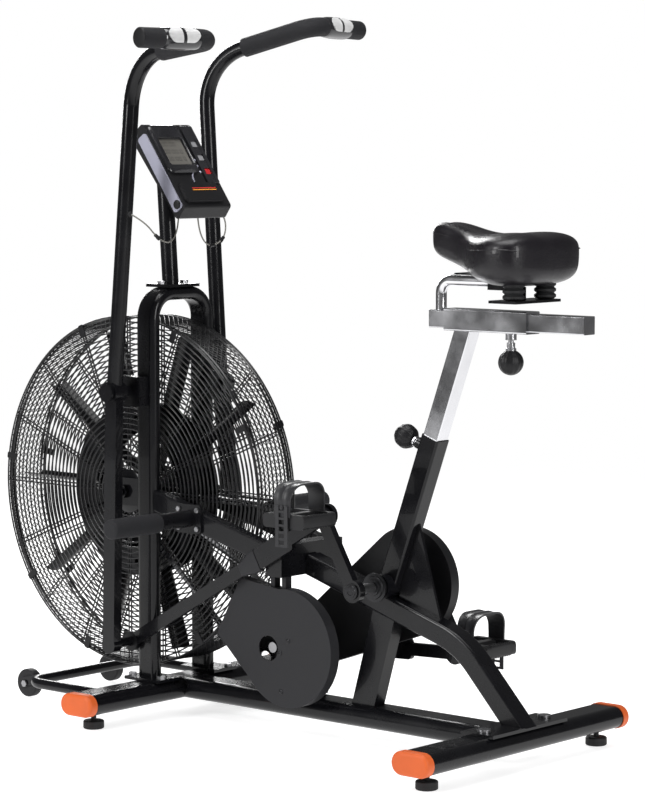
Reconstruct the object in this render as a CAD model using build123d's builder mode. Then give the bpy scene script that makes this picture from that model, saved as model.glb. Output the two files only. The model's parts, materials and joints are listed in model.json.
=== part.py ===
from build123d import *
import math
import os

os.makedirs("parts", exist_ok=True)

# ---------------------------------------------------------------- frame of reference
# +X runs to the rear of the bike, +Y to the rider's right, +Z up, floor at Z = 0.
FAN_X = -363.5          # fan axis, measured from the middle of the whole bike
FAN_Z = 430.0           # fan axis height


def along(distance):
    """X of a point given its distance behind the fan axis."""
    return FAN_X + distance


def side_plane(y):
    """Upright plane across the bike at y: local x is X, local y is Z, extrudes toward -Y."""
    return Plane(origin=(0, y, 0), x_dir=(1, 0, 0), z_dir=(0, -1, 0))


def tilted(points, pivot, angle):
    """Turn (x, z) pairs about a pivot so that a positive angle leans the top rearward."""
    c = math.cos(math.radians(angle))
    s = math.sin(math.radians(angle))
    turned = []
    for x, z in points:
        turned.append((pivot[0] + x * c + z * s, pivot[1] - x * s + z * c))
    return turned


# ---------------------------------------------------------------- driving dimensions
OVAL_W = 80.0           # stabilisers and base beam, flat oval steel tube
OVAL_H = 40.0
WALL = 2.5
STABILISER_Z = 50.0
STABILISER_LEN = 560.0
FRONT_X = along(100)
REAR_X = along(915)
CAP_LEN = 20.0

CAGE_R = 345.0          # outside radius of the fan cage
RING_Y = 53.5           # outside face of the ring wires
WIRE = 3.0
RING_PITCH = 10.5
RING_COUNT = 28
CAGE_HUB_R = 42.0

LEG_X = along(80)       # upright arch
LEG_Y = 75.0
LEG_W = 50.0
LEG_T = 25.0
ARCH_TOP = 820.0

PIVOT = (along(61), 634.0)      # arm pivot, side view
ARM_Y = 150.0
LEVER_LEN = 492.0
ROD_Y = 94.0
ROD_T = 10.0

BB = (along(630), 300.0)        # crank axis, side view
CRANK_LEN = 152.0
CRANK_LEAN = 30.0               # left crank forward of straight up
CRANK_IN = 101.0
CRANK_T = 14.0

JACK = (along(395), 165.0)      # jackshaft axis, side view
TOOTH_PITCH = 12.7
CHAINRING_TEETH = 40
JACK_SMALL_TEETH = 16
JACK_LARGE_TEETH = 40
FAN_TEETH = 14
CHAIN1_Y = 60.0
CHAIN2_Y = -43.0
CHAIN_W = 6.0
CHAIN_H = 8.0
TEETH_GAP = 0.5

SEAT_LEAN = 20.0
SLEEVE_W = 40.0
SLEEVE_D = 36.0
SLIDE_Z = 796.0

crank_s = math.sin(math.radians(CRANK_LEAN)) * CRANK_LEN
crank_c = math.cos(math.radians(CRANK_LEAN)) * CRANK_LEN
PEDAL_L = (BB[0] - crank_s, BB[1] + crank_c)
PEDAL_R = (BB[0] + crank_s, BB[1] - crank_c)


def pitch_radius(teeth):
    return TOOTH_PITCH / (2 * math.sin(math.pi / teeth))


def save(builder, name):
    builder.part.label = name
    export_step(builder.part, "parts/" + name + ".step")


# ---------------------------------------------------------------- base
with BuildPart() as front_stabiliser:
    with BuildSketch(side_plane(STABILISER_LEN / 2)):
        with Locations((FRONT_X, STABILISER_Z)):
            SlotOverall(OVAL_W, OVAL_H)
            SlotOverall(OVAL_W - 2 * WALL, OVAL_H - 2 * WALL, mode=Mode.SUBTRACT)
    extrude(amount=STABILISER_LEN)
    with Locations((FRONT_X, -250, 31), (FRONT_X, 250, 31)):
        Cylinder(5.4, 6, mode=Mode.SUBTRACT)
save(front_stabiliser, "front_stabiliser")

with BuildPart() as rear_stabiliser:
    with BuildSketch(side_plane(STABILISER_LEN / 2)):
        with Locations((REAR_X, STABILISER_Z)):
            SlotOverall(OVAL_W, OVAL_H)
            SlotOverall(OVAL_W - 2 * WALL, OVAL_H - 2 * WALL, mode=Mode.SUBTRACT)
    extrude(amount=STABILISER_LEN)
    with Locations((REAR_X, -250, 31), (REAR_X, 250, 31)):
        Cylinder(5.4, 6, mode=Mode.SUBTRACT)
save(rear_stabiliser, "rear_stabiliser")

with BuildPart() as stabiliser_caps:
    for cap_x in (FRONT_X, REAR_X):
        for sign in (-1, 1):
            cap_face = Plane(origin=(cap_x, sign * STABILISER_LEN / 2, STABILISER_Z),
                             x_dir=(1, 0, 0), z_dir=(0, sign, 0))
            with BuildSketch(cap_face):
                SlotOverall(OVAL_W + 3, OVAL_H + 3)
            extrude(amount=CAP_LEN)
            with BuildSketch(cap_face):
                SlotOverall(OVAL_W - 2 * WALL - 0.2, OVAL_H - 2 * WALL - 0.2)
            extrude(amount=-14)
    cap_ends = [e for e in stabiliser_caps.edges()
                if abs(abs(e.center().Y) - STABILISER_LEN / 2 - CAP_LEN) < 0.1]
    fillet(cap_ends, 7)
save(stabiliser_caps, "stabiliser_caps")

with BuildPart() as base_beam:
    beam_start = Plane(origin=(FRONT_X, 0, STABILISER_Z), x_dir=(0, 1, 0), z_dir=(1, 0, 0))
    with BuildSketch(beam_start):
        SlotOverall(OVAL_W, OVAL_H)
        SlotOverall(OVAL_W - 2 * WALL, OVAL_H - 2 * WALL, mode=Mode.SUBTRACT)
    extrude(amount=REAR_X - FRONT_X)
    with BuildSketch(side_plane(60)):
        with Locations((FRONT_X, STABILISER_Z), (REAR_X, STABILISER_Z)):
            SlotOverall(OVAL_W, OVAL_H)
    extrude(amount=120, mode=Mode.SUBTRACT)
save(base_beam, "base_beam")

LOOP_X = along(-172)
LOOP_Y = 165.0
LOOP_Z = 45.0
WHEEL_X = along(-218)
WHEEL_Y = 115.0
WHEEL_Z = 31.0
WHEEL_R = 28.0
with BuildPart() as transport_loop:
    with BuildLine():
        FilletPolyline((FRONT_X - 25, -LOOP_Y, LOOP_Z), (LOOP_X, -LOOP_Y, LOOP_Z),
                       (LOOP_X, LOOP_Y, LOOP_Z), (FRONT_X - 25, LOOP_Y, LOOP_Z), radius=40)
    with BuildSketch(Plane(origin=(FRONT_X - 25, -LOOP_Y, LOOP_Z), z_dir=(-1, 0, 0))):
        Circle(10)
        Circle(8, mode=Mode.SUBTRACT)
    sweep()
    with BuildSketch(side_plane(STABILISER_LEN / 2)):
        with Locations((FRONT_X, STABILISER_Z)):
            SlotOverall(OVAL_W, OVAL_H)
    extrude(amount=STABILISER_LEN, mode=Mode.SUBTRACT)
    for wheel_y in (-WHEEL_Y, WHEEL_Y):
        for cheek in (-12.5, 12.5):
            with BuildSketch(side_plane(wheel_y + cheek + 1.5)):
                with BuildLine():
                    Polyline((LOOP_X - 8, LOOP_Z + 9), (LOOP_X - 8, LOOP_Z - 9),
                             (WHEEL_X - 10, WHEEL_Z - 10), (WHEEL_X - 10, WHEEL_Z + 10), close=True)
                make_face()
            extrude(amount=3)
        with BuildSketch(side_plane(wheel_y + 16)):
            with Locations((WHEEL_X, WHEEL_Z)):
                Circle(4)
        extrude(amount=32)
save(transport_loop, "transport_loop")

for wheel_name, wheel_y in (("transport_wheel_left", -WHEEL_Y), ("transport_wheel_right", WHEEL_Y)):
    with BuildPart() as transport_wheel:
        with BuildSketch(side_plane(wheel_y + 10)):
            with Locations((WHEEL_X, WHEEL_Z)):
                Circle(WHEEL_R)
                Circle(4.08, mode=Mode.SUBTRACT)
        extrude(amount=20)
        tread = [e for e in transport_wheel.edges() if e.length > 150]
        fillet(tread, 4)
    save(transport_wheel, wheel_name)

for foot_name, foot_x, foot_y in (("foot_front_left", FRONT_X, -250), ("foot_front_right", FRONT_X, 250),
                                  ("foot_rear_left", REAR_X, -250), ("foot_rear_right", REAR_X, 250)):
    with BuildPart() as levelling_foot:
        with BuildSketch(Plane.XY):
            with Locations((foot_x, foot_y)):
                Circle(20)
        extrude(amount=16)
        foot_rims = levelling_foot.edges().filter_by(GeomType.CIRCLE)
        fillet(foot_rims, 3)
        with BuildSketch(Plane.XY.offset(15)):
            with Locations((foot_x, foot_y)):
                Circle(5)
        extrude(amount=33)
    save(levelling_foot, foot_name)

# ---------------------------------------------------------------- arch and console mast
FOOT_PLATE_T = 6.0
BASE_TOP = STABILISER_Z + OVAL_H / 2
with BuildPart() as arch_frame:
    with BuildLine():
        FilletPolyline((LEG_X, -LEG_Y, BASE_TOP + 3), (LEG_X, -LEG_Y, ARCH_TOP),
                       (LEG_X, LEG_Y, ARCH_TOP), (LEG_X, LEG_Y, BASE_TOP + 3), radius=48)
    with BuildSketch(Plane(origin=(LEG_X, -LEG_Y, BASE_TOP + 3), x_dir=(1, 0, 0), z_dir=(0, 0, 1))):
        SlotOverall(LEG_W, LEG_T)
        SlotOverall(LEG_W - 4, LEG_T - 4, mode=Mode.SUBTRACT)
    sweep()
    with Locations((along(92), -LEG_Y - 4, BASE_TOP + FOOT_PLATE_T / 2),
                   (along(92), LEG_Y + 4, BASE_TOP + FOOT_PLATE_T / 2)):
        Box(92, 66, FOOT_PLATE_T)
save(arch_frame, "arch_frame")

with BuildPart() as arch_brackets:
    for sign in (-1, 1):
        # axle plate against the inner face of each leg
        with BuildSketch(side_plane(sign * (LEG_Y - LEG_T / 2) + (6 if sign < 0 else 0))):
            with Locations((along(34), FAN_Z)):
                RectangleRounded(120, 54, 12)
            with Locations((FAN_X, FAN_Z)):
                Circle(8.5, mode=Mode.SUBTRACT)
        extrude(amount=6)
        # spacer blocks that hold the cage
        for block_z in (FAN_Z - 230, FAN_Z + 230):
            with Locations((LEG_X, sign * (RING_Y + LEG_Y - LEG_T / 2) / 2, block_z)):
                Box(16, LEG_Y - LEG_T / 2 - RING_Y, 24)
        # box and pin for the swinging arm
        with Locations((along(66), sign * (LEG_Y + LEG_T / 2 + 12), PIVOT[1])):
            Box(50, 24, 56)
        with BuildSketch(side_plane(-110 if sign < 0 else 174)):
            with Locations(PIVOT):
                Circle(10)
        extrude(amount=64)
        with BuildSketch(side_plane(-167.2 if sign < 0 else 174)):
            with Locations(PIVOT):
                Circle(17)
        extrude(amount=6.8)
    # fixed fan axle with its two nuts
    with BuildSketch(side_plane(76)):
        with Locations((FAN_X, FAN_Z)):
            Circle(8.5)
    extrude(amount=152)
    for nut_y in (71.5, -62.5):
        with BuildSketch(side_plane(nut_y)):
            with Locations((FAN_X, FAN_Z)):
                RegularPolygon(14, 6)
        extrude(amount=9)
save(arch_brackets, "arch_brackets")

# console, seen from the side: a slab leaning away from the rider
CONSOLE_HALF = 65.0
CONSOLE_TOP = (along(57), 1150.0)
CONSOLE_LOW = (along(170), 990.0)
CONSOLE_CHIN = (along(150), 962.0)
CONSOLE_BACK = (along(24), 1122.0)
MAST_FOOT = (along(68), 0, 836)
MAST_DIR = (-0.07, 0, 1)
with BuildPart() as console_slab:
    with BuildSketch(side_plane(CONSOLE_HALF)):
        with BuildLine():
            Polyline(CONSOLE_TOP, CONSOLE_LOW, CONSOLE_CHIN, CONSOLE_BACK, close=True)
        make_face()
    extrude(amount=2 * CONSOLE_HALF)
    fillet(console_slab.edges().filter_by(Axis.Y), 7)

with BuildPart() as console_mast:
    with BuildSketch(Plane(origin=MAST_FOOT, x_dir=(0, 1, 0), z_dir=MAST_DIR)):
        Circle(16)
        Circle(14, mode=Mode.SUBTRACT)
    extrude(amount=280)
    with Locations((along(74), 0, ARCH_TOP + LEG_T / 2 + 3)):
        Box(64, 84, 6)
    add(console_slab.part, mode=Mode.SUBTRACT)
    with Locations((along(60), 0, 1150)):
        Box(120, 120, 110, mode=Mode.SUBTRACT)
save(console_mast, "console_mast")

face_run = (CONSOLE_LOW[0] - CONSOLE_TOP[0], CONSOLE_LOW[1] - CONSOLE_TOP[1])
face_len = math.hypot(face_run[0], face_run[1])
FACE_N = (-face_run[1] / face_len, 0, face_run[0] / face_len)
FACE_MID = ((CONSOLE_TOP[0] + CONSOLE_LOW[0]) / 2, 0, (CONSOLE_TOP[1] + CONSOLE_LOW[1]) / 2)
console_face = Plane(origin=FACE_MID, x_dir=(0, 1, 0), z_dir=FACE_N)
SCREEN_AT = (-18, 28)
SCREEN_W = 66.0
SCREEN_H = 62.0
KEY_W = 16.0
KEY_H = 13.0
KEY_GAP = 0.35
KEY_SPOTS = (("key_mode", 45, 46), ("key_set", 45, 14), ("key_reset", 45, -18))
with BuildPart() as console_housing:
    add(console_slab.part)
    with BuildSketch(console_face):
        with Locations(SCREEN_AT):
            RectangleRounded(SCREEN_W, SCREEN_H, 4)
    extrude(amount=-3, mode=Mode.SUBTRACT)
    for key_name, key_u, key_v in KEY_SPOTS:
        with BuildSketch(console_face):
            with Locations((key_u, key_v)):
                RectangleRounded(KEY_W + 2 * KEY_GAP, KEY_H + 2 * KEY_GAP, 3)
        extrude(amount=-4, mode=Mode.SUBTRACT)
    # raised shelf at the foot of the face
    with BuildSketch(console_face.offset(-2)):
        with Locations((-5, -68)):
            RectangleRounded(104, 42, 8)
    extrude(amount=9)
save(console_housing, "console_housing")

with BuildPart() as console_screen:
    with BuildSketch(console_face.offset(-3)):
        with Locations(SCREEN_AT):
            RectangleRounded(SCREEN_W, SCREEN_H, 4)
    extrude(amount=3.4)
save(console_screen, "console_screen")

for key_name, key_u, key_v in KEY_SPOTS:
    with BuildPart() as console_key:
        with BuildSketch(console_face.offset(-3)):
            with Locations((key_u, key_v)):
                RectangleRounded(KEY_W, KEY_H, 2.7)
        extrude(amount=4.6)
    save(console_key, key_name)

with BuildPart() as console_trim:
    strip_mid = ((CONSOLE_TOP[0] + CONSOLE_CHIN[0]) / 2 + 2, (CONSOLE_TOP[1] + CONSOLE_CHIN[1]) / 2 - 2)
    strip_turn = math.degrees(math.atan2(face_run[1], face_run[0]))
    for strip_y in (CONSOLE_HALF + 3, -CONSOLE_HALF):
        with BuildSketch(side_plane(strip_y)):
            with Locations(Location(strip_mid, strip_turn)):
                RectangleRounded(172, 24, 6)
        extrude(amount=3)
save(console_trim, "console_trim")

# ---------------------------------------------------------------- main frame
RAIL_H = 40.0
RAIL_T = 25.0
RAIL_A = (LEG_X + 25, 421.0)
RAIL_B = (along(395), 343.0)
CROSS_X = along(415)
CROSS_Z = 333.0
BEAM_A = (along(435), 322.0)
BEAM_B = (along(800), 209.0)
BEAM_C = (along(925), 75.0)
BEAM_W = 40.0
beam_fall = (BEAM_C[0] - BEAM_B[0], BEAM_C[1] - BEAM_B[1])
BEAM_END = (BEAM_C[0] + 0.3 * beam_fall[0], BEAM_C[1] + 0.3 * beam_fall[1])
rail_rise = RAIL_H / 2 * math.hypot(RAIL_B[0] - RAIL_A[0], RAIL_B[1] - RAIL_A[1]) / (RAIL_B[0] - RAIL_A[0])

with BuildPart() as side_rails:
    for rail_y in (LEG_Y + RAIL_T / 2, -LEG_Y + RAIL_T / 2):
        with BuildSketch(side_plane(rail_y)):
            with BuildLine():
                Polyline((RAIL_A[0], RAIL_A[1] + rail_rise), (RAIL_B[0], RAIL_B[1] + rail_rise),
                         (RAIL_B[0], RAIL_B[1] - rail_rise), (RAIL_A[0], RAIL_A[1] - rail_rise), close=True)
            make_face()
        extrude(amount=RAIL_T)
    long_edges = [e for e in side_rails.edges() if e.length > 170]
    fillet(long_edges, 4)
    with Locations((CROSS_X, 0, CROSS_Z)):
        Box(40, 2 * LEG_Y + RAIL_T, 60)
save(side_rails, "side_rails")

beam_dir = (BEAM_B[0] - BEAM_A[0], 0, BEAM_B[1] - BEAM_A[1])
beam_plane = Plane(origin=(BEAM_A[0], 0, BEAM_A[1]), x_dir=(0, 1, 0), z_dir=beam_dir)
BEAM_BEND = 180.0
with BuildPart() as beam_envelope:
    with BuildLine():
        FilletPolyline((BEAM_A[0], 0, BEAM_A[1]), (BEAM_B[0], 0, BEAM_B[1]),
                       (BEAM_END[0], 0, BEAM_END[1]), radius=BEAM_BEND)
    with BuildSketch(beam_plane):
        RectangleRounded(BEAM_W, BEAM_W, 6)
    sweep()

with BuildPart() as main_beam:
    with BuildLine():
        FilletPolyline((BEAM_A[0], 0, BEAM_A[1]), (BEAM_B[0], 0, BEAM_B[1]),
                       (BEAM_END[0], 0, BEAM_END[1]), radius=BEAM_BEND)
    with BuildSketch(beam_plane):
        RectangleRounded(BEAM_W, BEAM_W, 6)
        RectangleRounded(BEAM_W - 5, BEAM_W - 5, 4, mode=Mode.SUBTRACT)
    sweep()
    with Locations((BEAM_C[0], 0, BASE_TOP - 45)):
        Box(260, 120, 100, mode=Mode.SUBTRACT)
    with Locations((CROSS_X, 0, CROSS_Z)):
        Box(40, 80, 60, mode=Mode.SUBTRACT)
    with BuildSketch(side_plane(60)):
        with Locations(BB):
            Circle(22)
    extrude(amount=120, mode=Mode.SUBTRACT)
    with Locations((REAR_X, 0, BASE_TOP + 3)):
        Box(72, 220, 6)
save(main_beam, "main_beam")

LEG_FOOT = (along(546), along(600))
LEG_HEAD = (along(600), along(650))
with BuildPart() as support_leg:
    with BuildSketch(side_plane(15)):
        with BuildLine():
            Polyline((LEG_FOOT[0], BASE_TOP), (LEG_FOOT[1], BASE_TOP),
                     (LEG_HEAD[1], 245), (LEG_HEAD[0], 262), close=True)
        make_face()
    extrude(amount=30)
    add(beam_envelope.part, mode=Mode.SUBTRACT)
save(support_leg, "support_leg")

with BuildPart() as bb_shell:
    with BuildSketch(side_plane(48)):
        with Locations(BB):
            Circle(22)
            Circle(10.06, mode=Mode.SUBTRACT)
    extrude(amount=85)
save(bb_shell, "bb_shell")

seat_s = math.sin(math.radians(SEAT_LEAN))
seat_c = math.cos(math.radians(SEAT_LEAN))


def on_seat_tube(up, out=0.0):
    """Side-view point: up the seat tube from the crank axis, out toward the rear."""
    return (BB[0] + up * seat_s + out * seat_c, BB[1] + up * seat_c - out * seat_s)


def seat_plane(up):
    x, z = on_seat_tube(up)
    return Plane(origin=(x, 0, z), x_dir=(seat_c, 0, -seat_s), z_dir=(seat_s, 0, seat_c))


SLEEVE_TOP = 298.0
POST_FOOT = 185.0
POST_W = SLEEVE_W - 5.1
POST_D = SLEEVE_D - 5.1
PIN_UP = 272.0
with BuildPart() as seat_tube:
    with BuildSketch(seat_plane(0)):
        RectangleRounded(SLEEVE_W, SLEEVE_D, 4)
    extrude(amount=SLEEVE_TOP)
    with BuildSketch(seat_plane(45)):
        RectangleRounded(SLEEVE_W - 5, SLEEVE_D - 5, 2)
    extrude(amount=SLEEVE_TOP, mode=Mode.SUBTRACT)
    with BuildSketch(side_plane(3)):
        with BuildLine():
            Polyline(on_seat_tube(20, 15), on_seat_tube(135, 19), (along(756), 214), (along(650), 260),
                     close=True)
        make_face()
    extrude(amount=6)
    pin_x, pin_z = on_seat_tube(PIN_UP, -SLEEVE_W / 2 + 1)
    pin_plane = Plane(origin=(pin_x, 0, pin_z), x_dir=(0, 1, 0), z_dir=(-seat_c, 0, seat_s))
    with BuildSketch(pin_plane):
        Circle(11)
    extrude(amount=15)
    with BuildSketch(pin_plane.offset(-3)):
        Circle(5.1)
    extrude(amount=20, mode=Mode.SUBTRACT)
    with BuildSketch(side_plane(60)):
        with Locations(BB):
            Circle(22)
    extrude(amount=120, mode=Mode.SUBTRACT)
    add(beam_envelope.part, mode=Mode.SUBTRACT)
save(seat_tube, "seat_tube")

with BuildPart() as jackshaft_stand:
    with Locations((JACK[0] + 5, 0, BASE_TOP + 2.5)):
        Box(90, 68, 5)
    for stand_y in (34, -28):
        with BuildSketch(side_plane(stand_y)):
            with BuildLine():
                Polyline((JACK[0] - 36, BASE_TOP + 4), (JACK[0] + 46, BASE_TOP + 4),
                         (JACK[0] + 24, JACK[1]), (JACK[0] - 24, JACK[1]), close=True)
            make_face()
            with Locations(JACK):
                Circle(24)
                Circle(10.06, mode=Mode.SUBTRACT)
        extrude(amount=6)
save(jackshaft_stand, "jackshaft_stand")

# ---------------------------------------------------------------- foot pegs
PEG_AT = (along(200), 395.0)
PEG_END = 302.0
with BuildPart() as foot_pegs:
    for sign in (-1, 1):
        flange_face = Plane(origin=(PEG_AT[0], sign * (LEG_Y + LEG_T / 2), PEG_AT[1]),
                            x_dir=(1, 0, 0), z_dir=(0, sign, 0))
        with BuildSketch(flange_face):
            RectangleRounded(66, 56, 8)
        extrude(amount=5)
        with BuildSketch(flange_face.offset(4)):
            Circle(16)
        extrude(amount=PEG_END - LEG_Y - LEG_T / 2 - 8)
save(foot_pegs, "foot_pegs")

with BuildPart() as foot_peg_sleeves:
    for sign in (-1, 1):
        sleeve_face = Plane(origin=(PEG_AT[0], sign * 178, PEG_AT[1]), x_dir=(1, 0, 0), z_dir=(0, sign, 0))
        with BuildSketch(sleeve_face):
            Circle(19)
        extrude(amount=PEG_END - 178 + 3)
        with BuildSketch(sleeve_face):
            Circle(16)
        extrude(amount=PEG_END - 182, mode=Mode.SUBTRACT)
    peg_ends = [e for e in foot_peg_sleeves.edges().filter_by(GeomType.CIRCLE)
                if abs(e.center().Y) > PEG_END and e.length > 110]
    fillet(peg_ends, 6)
save(foot_peg_sleeves, "foot_peg_sleeves")

# ---------------------------------------------------------------- chain drives
def chain_loop(centre_a, radius_a, centre_b, radius_b):
    """Outline round two wheels: the two circles and the straight runs between them."""
    dx = centre_b[0] - centre_a[0]
    dz = centre_b[1] - centre_a[1]
    gap = math.hypot(dx, dz)
    heading = math.atan2(dz, dx)
    spread = math.acos((radius_a - radius_b) / gap)
    points = []
    for centre, radius in ((centre_a, radius_a), (centre_b, radius_b)):
        for turn in (spread, -spread):
            points.append((centre[0] + radius * math.cos(heading + turn),
                           centre[1] + radius * math.sin(heading + turn)))
    return points[0], points[2], points[3], points[1]


def belt_sketch(centre_a, radius_a, centre_b, radius_b, mode=Mode.ADD):
    with BuildSketch(mode=Mode.PRIVATE) as loop:
        with BuildLine():
            Polyline(*chain_loop(centre_a, radius_a, centre_b, radius_b), close=True)
        make_face()
        with Locations(centre_a):
            Circle(radius_a)
        with Locations(centre_b):
            Circle(radius_b)
    add(loop.sketch, mode=mode)


ring_r = pitch_radius(CHAINRING_TEETH)
jack_small_r = pitch_radius(JACK_SMALL_TEETH)
jack_large_r = pitch_radius(JACK_LARGE_TEETH)
fan_sprocket_r = pitch_radius(FAN_TEETH)

with BuildPart() as drive_chains:
    with BuildSketch(side_plane(CHAIN1_Y + CHAIN_W / 2)):
        belt_sketch(BB, ring_r + CHAIN_H / 2, JACK, jack_small_r + CHAIN_H / 2)
        belt_sketch(BB, ring_r - CHAIN_H / 2, JACK, jack_small_r - CHAIN_H / 2, mode=Mode.SUBTRACT)
    extrude(amount=CHAIN_W)
    with BuildSketch(side_plane(CHAIN2_Y + CHAIN_W / 2)):
        belt_sketch(JACK, jack_large_r + CHAIN_H / 2, (FAN_X, FAN_Z), fan_sprocket_r + CHAIN_H / 2)
        belt_sketch(JACK, jack_large_r - CHAIN_H / 2, (FAN_X, FAN_Z), fan_sprocket_r - CHAIN_H / 2,
                    mode=Mode.SUBTRACT)
    extrude(amount=CHAIN_W)
save(drive_chains, "drive_chains")


def sprocket_sketch(centre, teeth, tip_radius):
    with Locations(centre):
        Circle(tip_radius)
    for tooth in range(teeth):
        turn = 2 * math.pi * (tooth + 0.5) / teeth
        with Locations((centre[0] + (tip_radius + 2) * math.cos(turn),
                        centre[1] + (tip_radius + 2) * math.sin(turn))):
            Circle(4.2, mode=Mode.SUBTRACT)


def teeth_tip(radius):
    return radius - CHAIN_H / 2 - TEETH_GAP


with BuildPart() as jackshaft:
    with BuildSketch(side_plane(CHAIN1_Y + 6)):
        with Locations(JACK):
            Circle(10)
    extrude(amount=CHAIN1_Y + 6 + 68)
    with BuildSketch(side_plane(CHAIN1_Y + 2)):
        sprocket_sketch(JACK, JACK_SMALL_TEETH, teeth_tip(jack_small_r))
    extrude(amount=4)
    with BuildSketch(side_plane(CHAIN2_Y + 2)):
        sprocket_sketch(JACK, JACK_LARGE_TEETH, teeth_tip(jack_large_r))
        with Locations(JACK):
            with PolarLocations(48, 5):
                Circle(14, mode=Mode.SUBTRACT)
    extrude(amount=4)
save(jackshaft, "jackshaft")

with BuildPart() as crank_spindle:
    with BuildSketch(side_plane(CRANK_IN + CRANK_T + 3)):
        with Locations(BB):
            Circle(10)
    extrude(amount=2 * (CRANK_IN + CRANK_T + 3))
    with BuildSketch(side_plane(CHAIN1_Y + 2)):
        sprocket_sketch(BB, CHAINRING_TEETH, teeth_tip(ring_r))
        with Locations(BB):
            with PolarLocations(48, 5):
                Circle(14, mode=Mode.SUBTRACT)
    extrude(amount=4)
save(crank_spindle, "crank_spindle")

COVER_IN = 48.0
COVER_OUT = 74.0
with BuildPart() as chain_cover:
    with BuildSketch(side_plane(COVER_OUT)):
        belt_sketch(BB, 102, JACK, 52)
    extrude(amount=COVER_OUT - COVER_IN)
    fillet(chain_cover.edges().filter_by(Plane.XZ).group_by(Axis.Y)[-1], 5)
    with BuildSketch(side_plane(COVER_OUT - 2)):
        belt_sketch(BB, 99, JACK, 49)
    extrude(amount=COVER_OUT - COVER_IN - 4, mode=Mode.SUBTRACT)
    with BuildSketch(side_plane(COVER_OUT + 1)):
        with Locations(BB):
            Circle(13)
    extrude(amount=COVER_OUT - COVER_IN + 2, mode=Mode.SUBTRACT)
    with BuildSketch(side_plane(COVER_IN + 3)):
        with Locations(JACK):
            Circle(13)
    extrude(amount=4, mode=Mode.SUBTRACT)
save(chain_cover, "chain_cover")

GUARD_IN = -56.0
GUARD_OUT = -80.0
GUARD_MID = (along(438), 169.0)
GUARD_R = 112.0
GUARD_NOSE_A = (along(324), 292.0)
GUARD_NOSE_B = (along(264), 180.0)
GUARD_LOW = (along(377), 75.0)
GUARD_HIGH = (along(425), 279.0)


def guard_outline(inset):
    with BuildSketch(mode=Mode.PRIVATE) as outline:
        with BuildLine():
            Polyline(GUARD_NOSE_A, GUARD_NOSE_B, GUARD_LOW, GUARD_MID, GUARD_HIGH, close=True)
        make_face()
        with Locations(GUARD_MID):
            Circle(GUARD_R)
        if inset:
            offset(amount=-inset)
    add(outline.sketch)


with BuildPart() as chain_guard:
    with BuildSketch(side_plane(GUARD_IN)):
        guard_outline(0)
    extrude(amount=GUARD_IN - GUARD_OUT)
    with BuildSketch(side_plane(GUARD_IN)):
        guard_outline(2)
    extrude(amount=GUARD_IN - GUARD_OUT - 2, mode=Mode.SUBTRACT)
    with BuildSketch(side_plane(GUARD_OUT + 3)):
        with Locations(JACK):
            Circle(24)
    extrude(amount=4, mode=Mode.SUBTRACT)
    # two tabs that hang the guard from the cross tube
    for tab_x in (CROSS_X - 14, CROSS_X + 14):
        with Locations((tab_x, -66, 290)):
            Box(10, 16, 26)
save(chain_guard, "chain_guard")

# ---------------------------------------------------------------- fan and cage
for grille_name, sign in (("grille_left", -1), ("grille_right", 1)):
    with BuildPart() as grille:
        wire_face = Plane(origin=(FAN_X, sign * RING_Y, FAN_Z), x_dir=(1, 0, 0), z_dir=(0, -sign, 0))
        with BuildSketch(wire_face):
            for ring in range(RING_COUNT):
                Circle(CAGE_R - ring * RING_PITCH)
                Circle(CAGE_R - ring * RING_PITCH - WIRE, mode=Mode.SUBTRACT)
            Circle(CAGE_HUB_R)
            Circle(24, mode=Mode.SUBTRACT)
        extrude(amount=WIRE)
        with BuildSketch(wire_face.offset(WIRE - 0.4)):
            with PolarLocations((CAGE_R + CAGE_HUB_R) / 2 - 4, 16):
                Rectangle(CAGE_R - CAGE_HUB_R + 4, WIRE)
        extrude(amount=WIRE)
    save(grille, grille_name)

RIM_HALF = RING_Y - WIRE
SLOT_MIN = -50.0
SLOT_MAX = -18.0
with BuildPart() as cage_rim:
    with BuildSketch(side_plane(RIM_HALF)):
        with Locations((FAN_X, FAN_Z)):
            Circle(CAGE_R)
            Circle(CAGE_R - 1.5, mode=Mode.SUBTRACT)
    extrude(amount=2 * RIM_HALF)
    with BuildSketch(side_plane(-34)):
        with BuildLine():
            Polyline((FAN_X, FAN_Z),
                     (FAN_X + 400 * math.cos(math.radians(SLOT_MIN)), FAN_Z + 400 * math.sin(math.radians(SLOT_MIN))),
                     (FAN_X + 400 * math.cos(math.radians(SLOT_MAX)), FAN_Z + 400 * math.sin(math.radians(SLOT_MAX))),
                     close=True)
        make_face()
    extrude(amount=14, mode=Mode.SUBTRACT)
save(cage_rim, "cage_rim")

BLADE_COUNT = 10
BLADE_OUT = 322.0
with BuildPart() as fan_hub:
    with BuildSketch(side_plane(46)):
        with Locations((FAN_X, FAN_Z)):
            Circle(21)
            Circle(8.56, mode=Mode.SUBTRACT)
    extrude(amount=92)
    with BuildSketch(side_plane(CHAIN2_Y + 2)):
        sprocket_sketch((FAN_X, FAN_Z), FAN_TEETH, teeth_tip(fan_sprocket_r))
        with Locations((FAN_X, FAN_Z)):
            Circle(8.56, mode=Mode.SUBTRACT)
    extrude(amount=4)
save(fan_hub, "fan_hub")

with BuildPart() as fan_blades:
    with BuildSketch(side_plane(1.5)):
        with Locations((FAN_X, FAN_Z)):
            Circle(150)
            Circle(21, mode=Mode.SUBTRACT)
            with PolarLocations(66, 8):
                Circle(19, mode=Mode.SUBTRACT)
    extrude(amount=3)
    with BuildSketch(side_plane(40)):
        with Locations((FAN_X, FAN_Z)):
            with PolarLocations((BLADE_OUT + 104) / 2, BLADE_COUNT):
                Rectangle(BLADE_OUT - 104, 2.5)
    extrude(amount=74)
save(fan_blades, "fan_blades")

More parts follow.
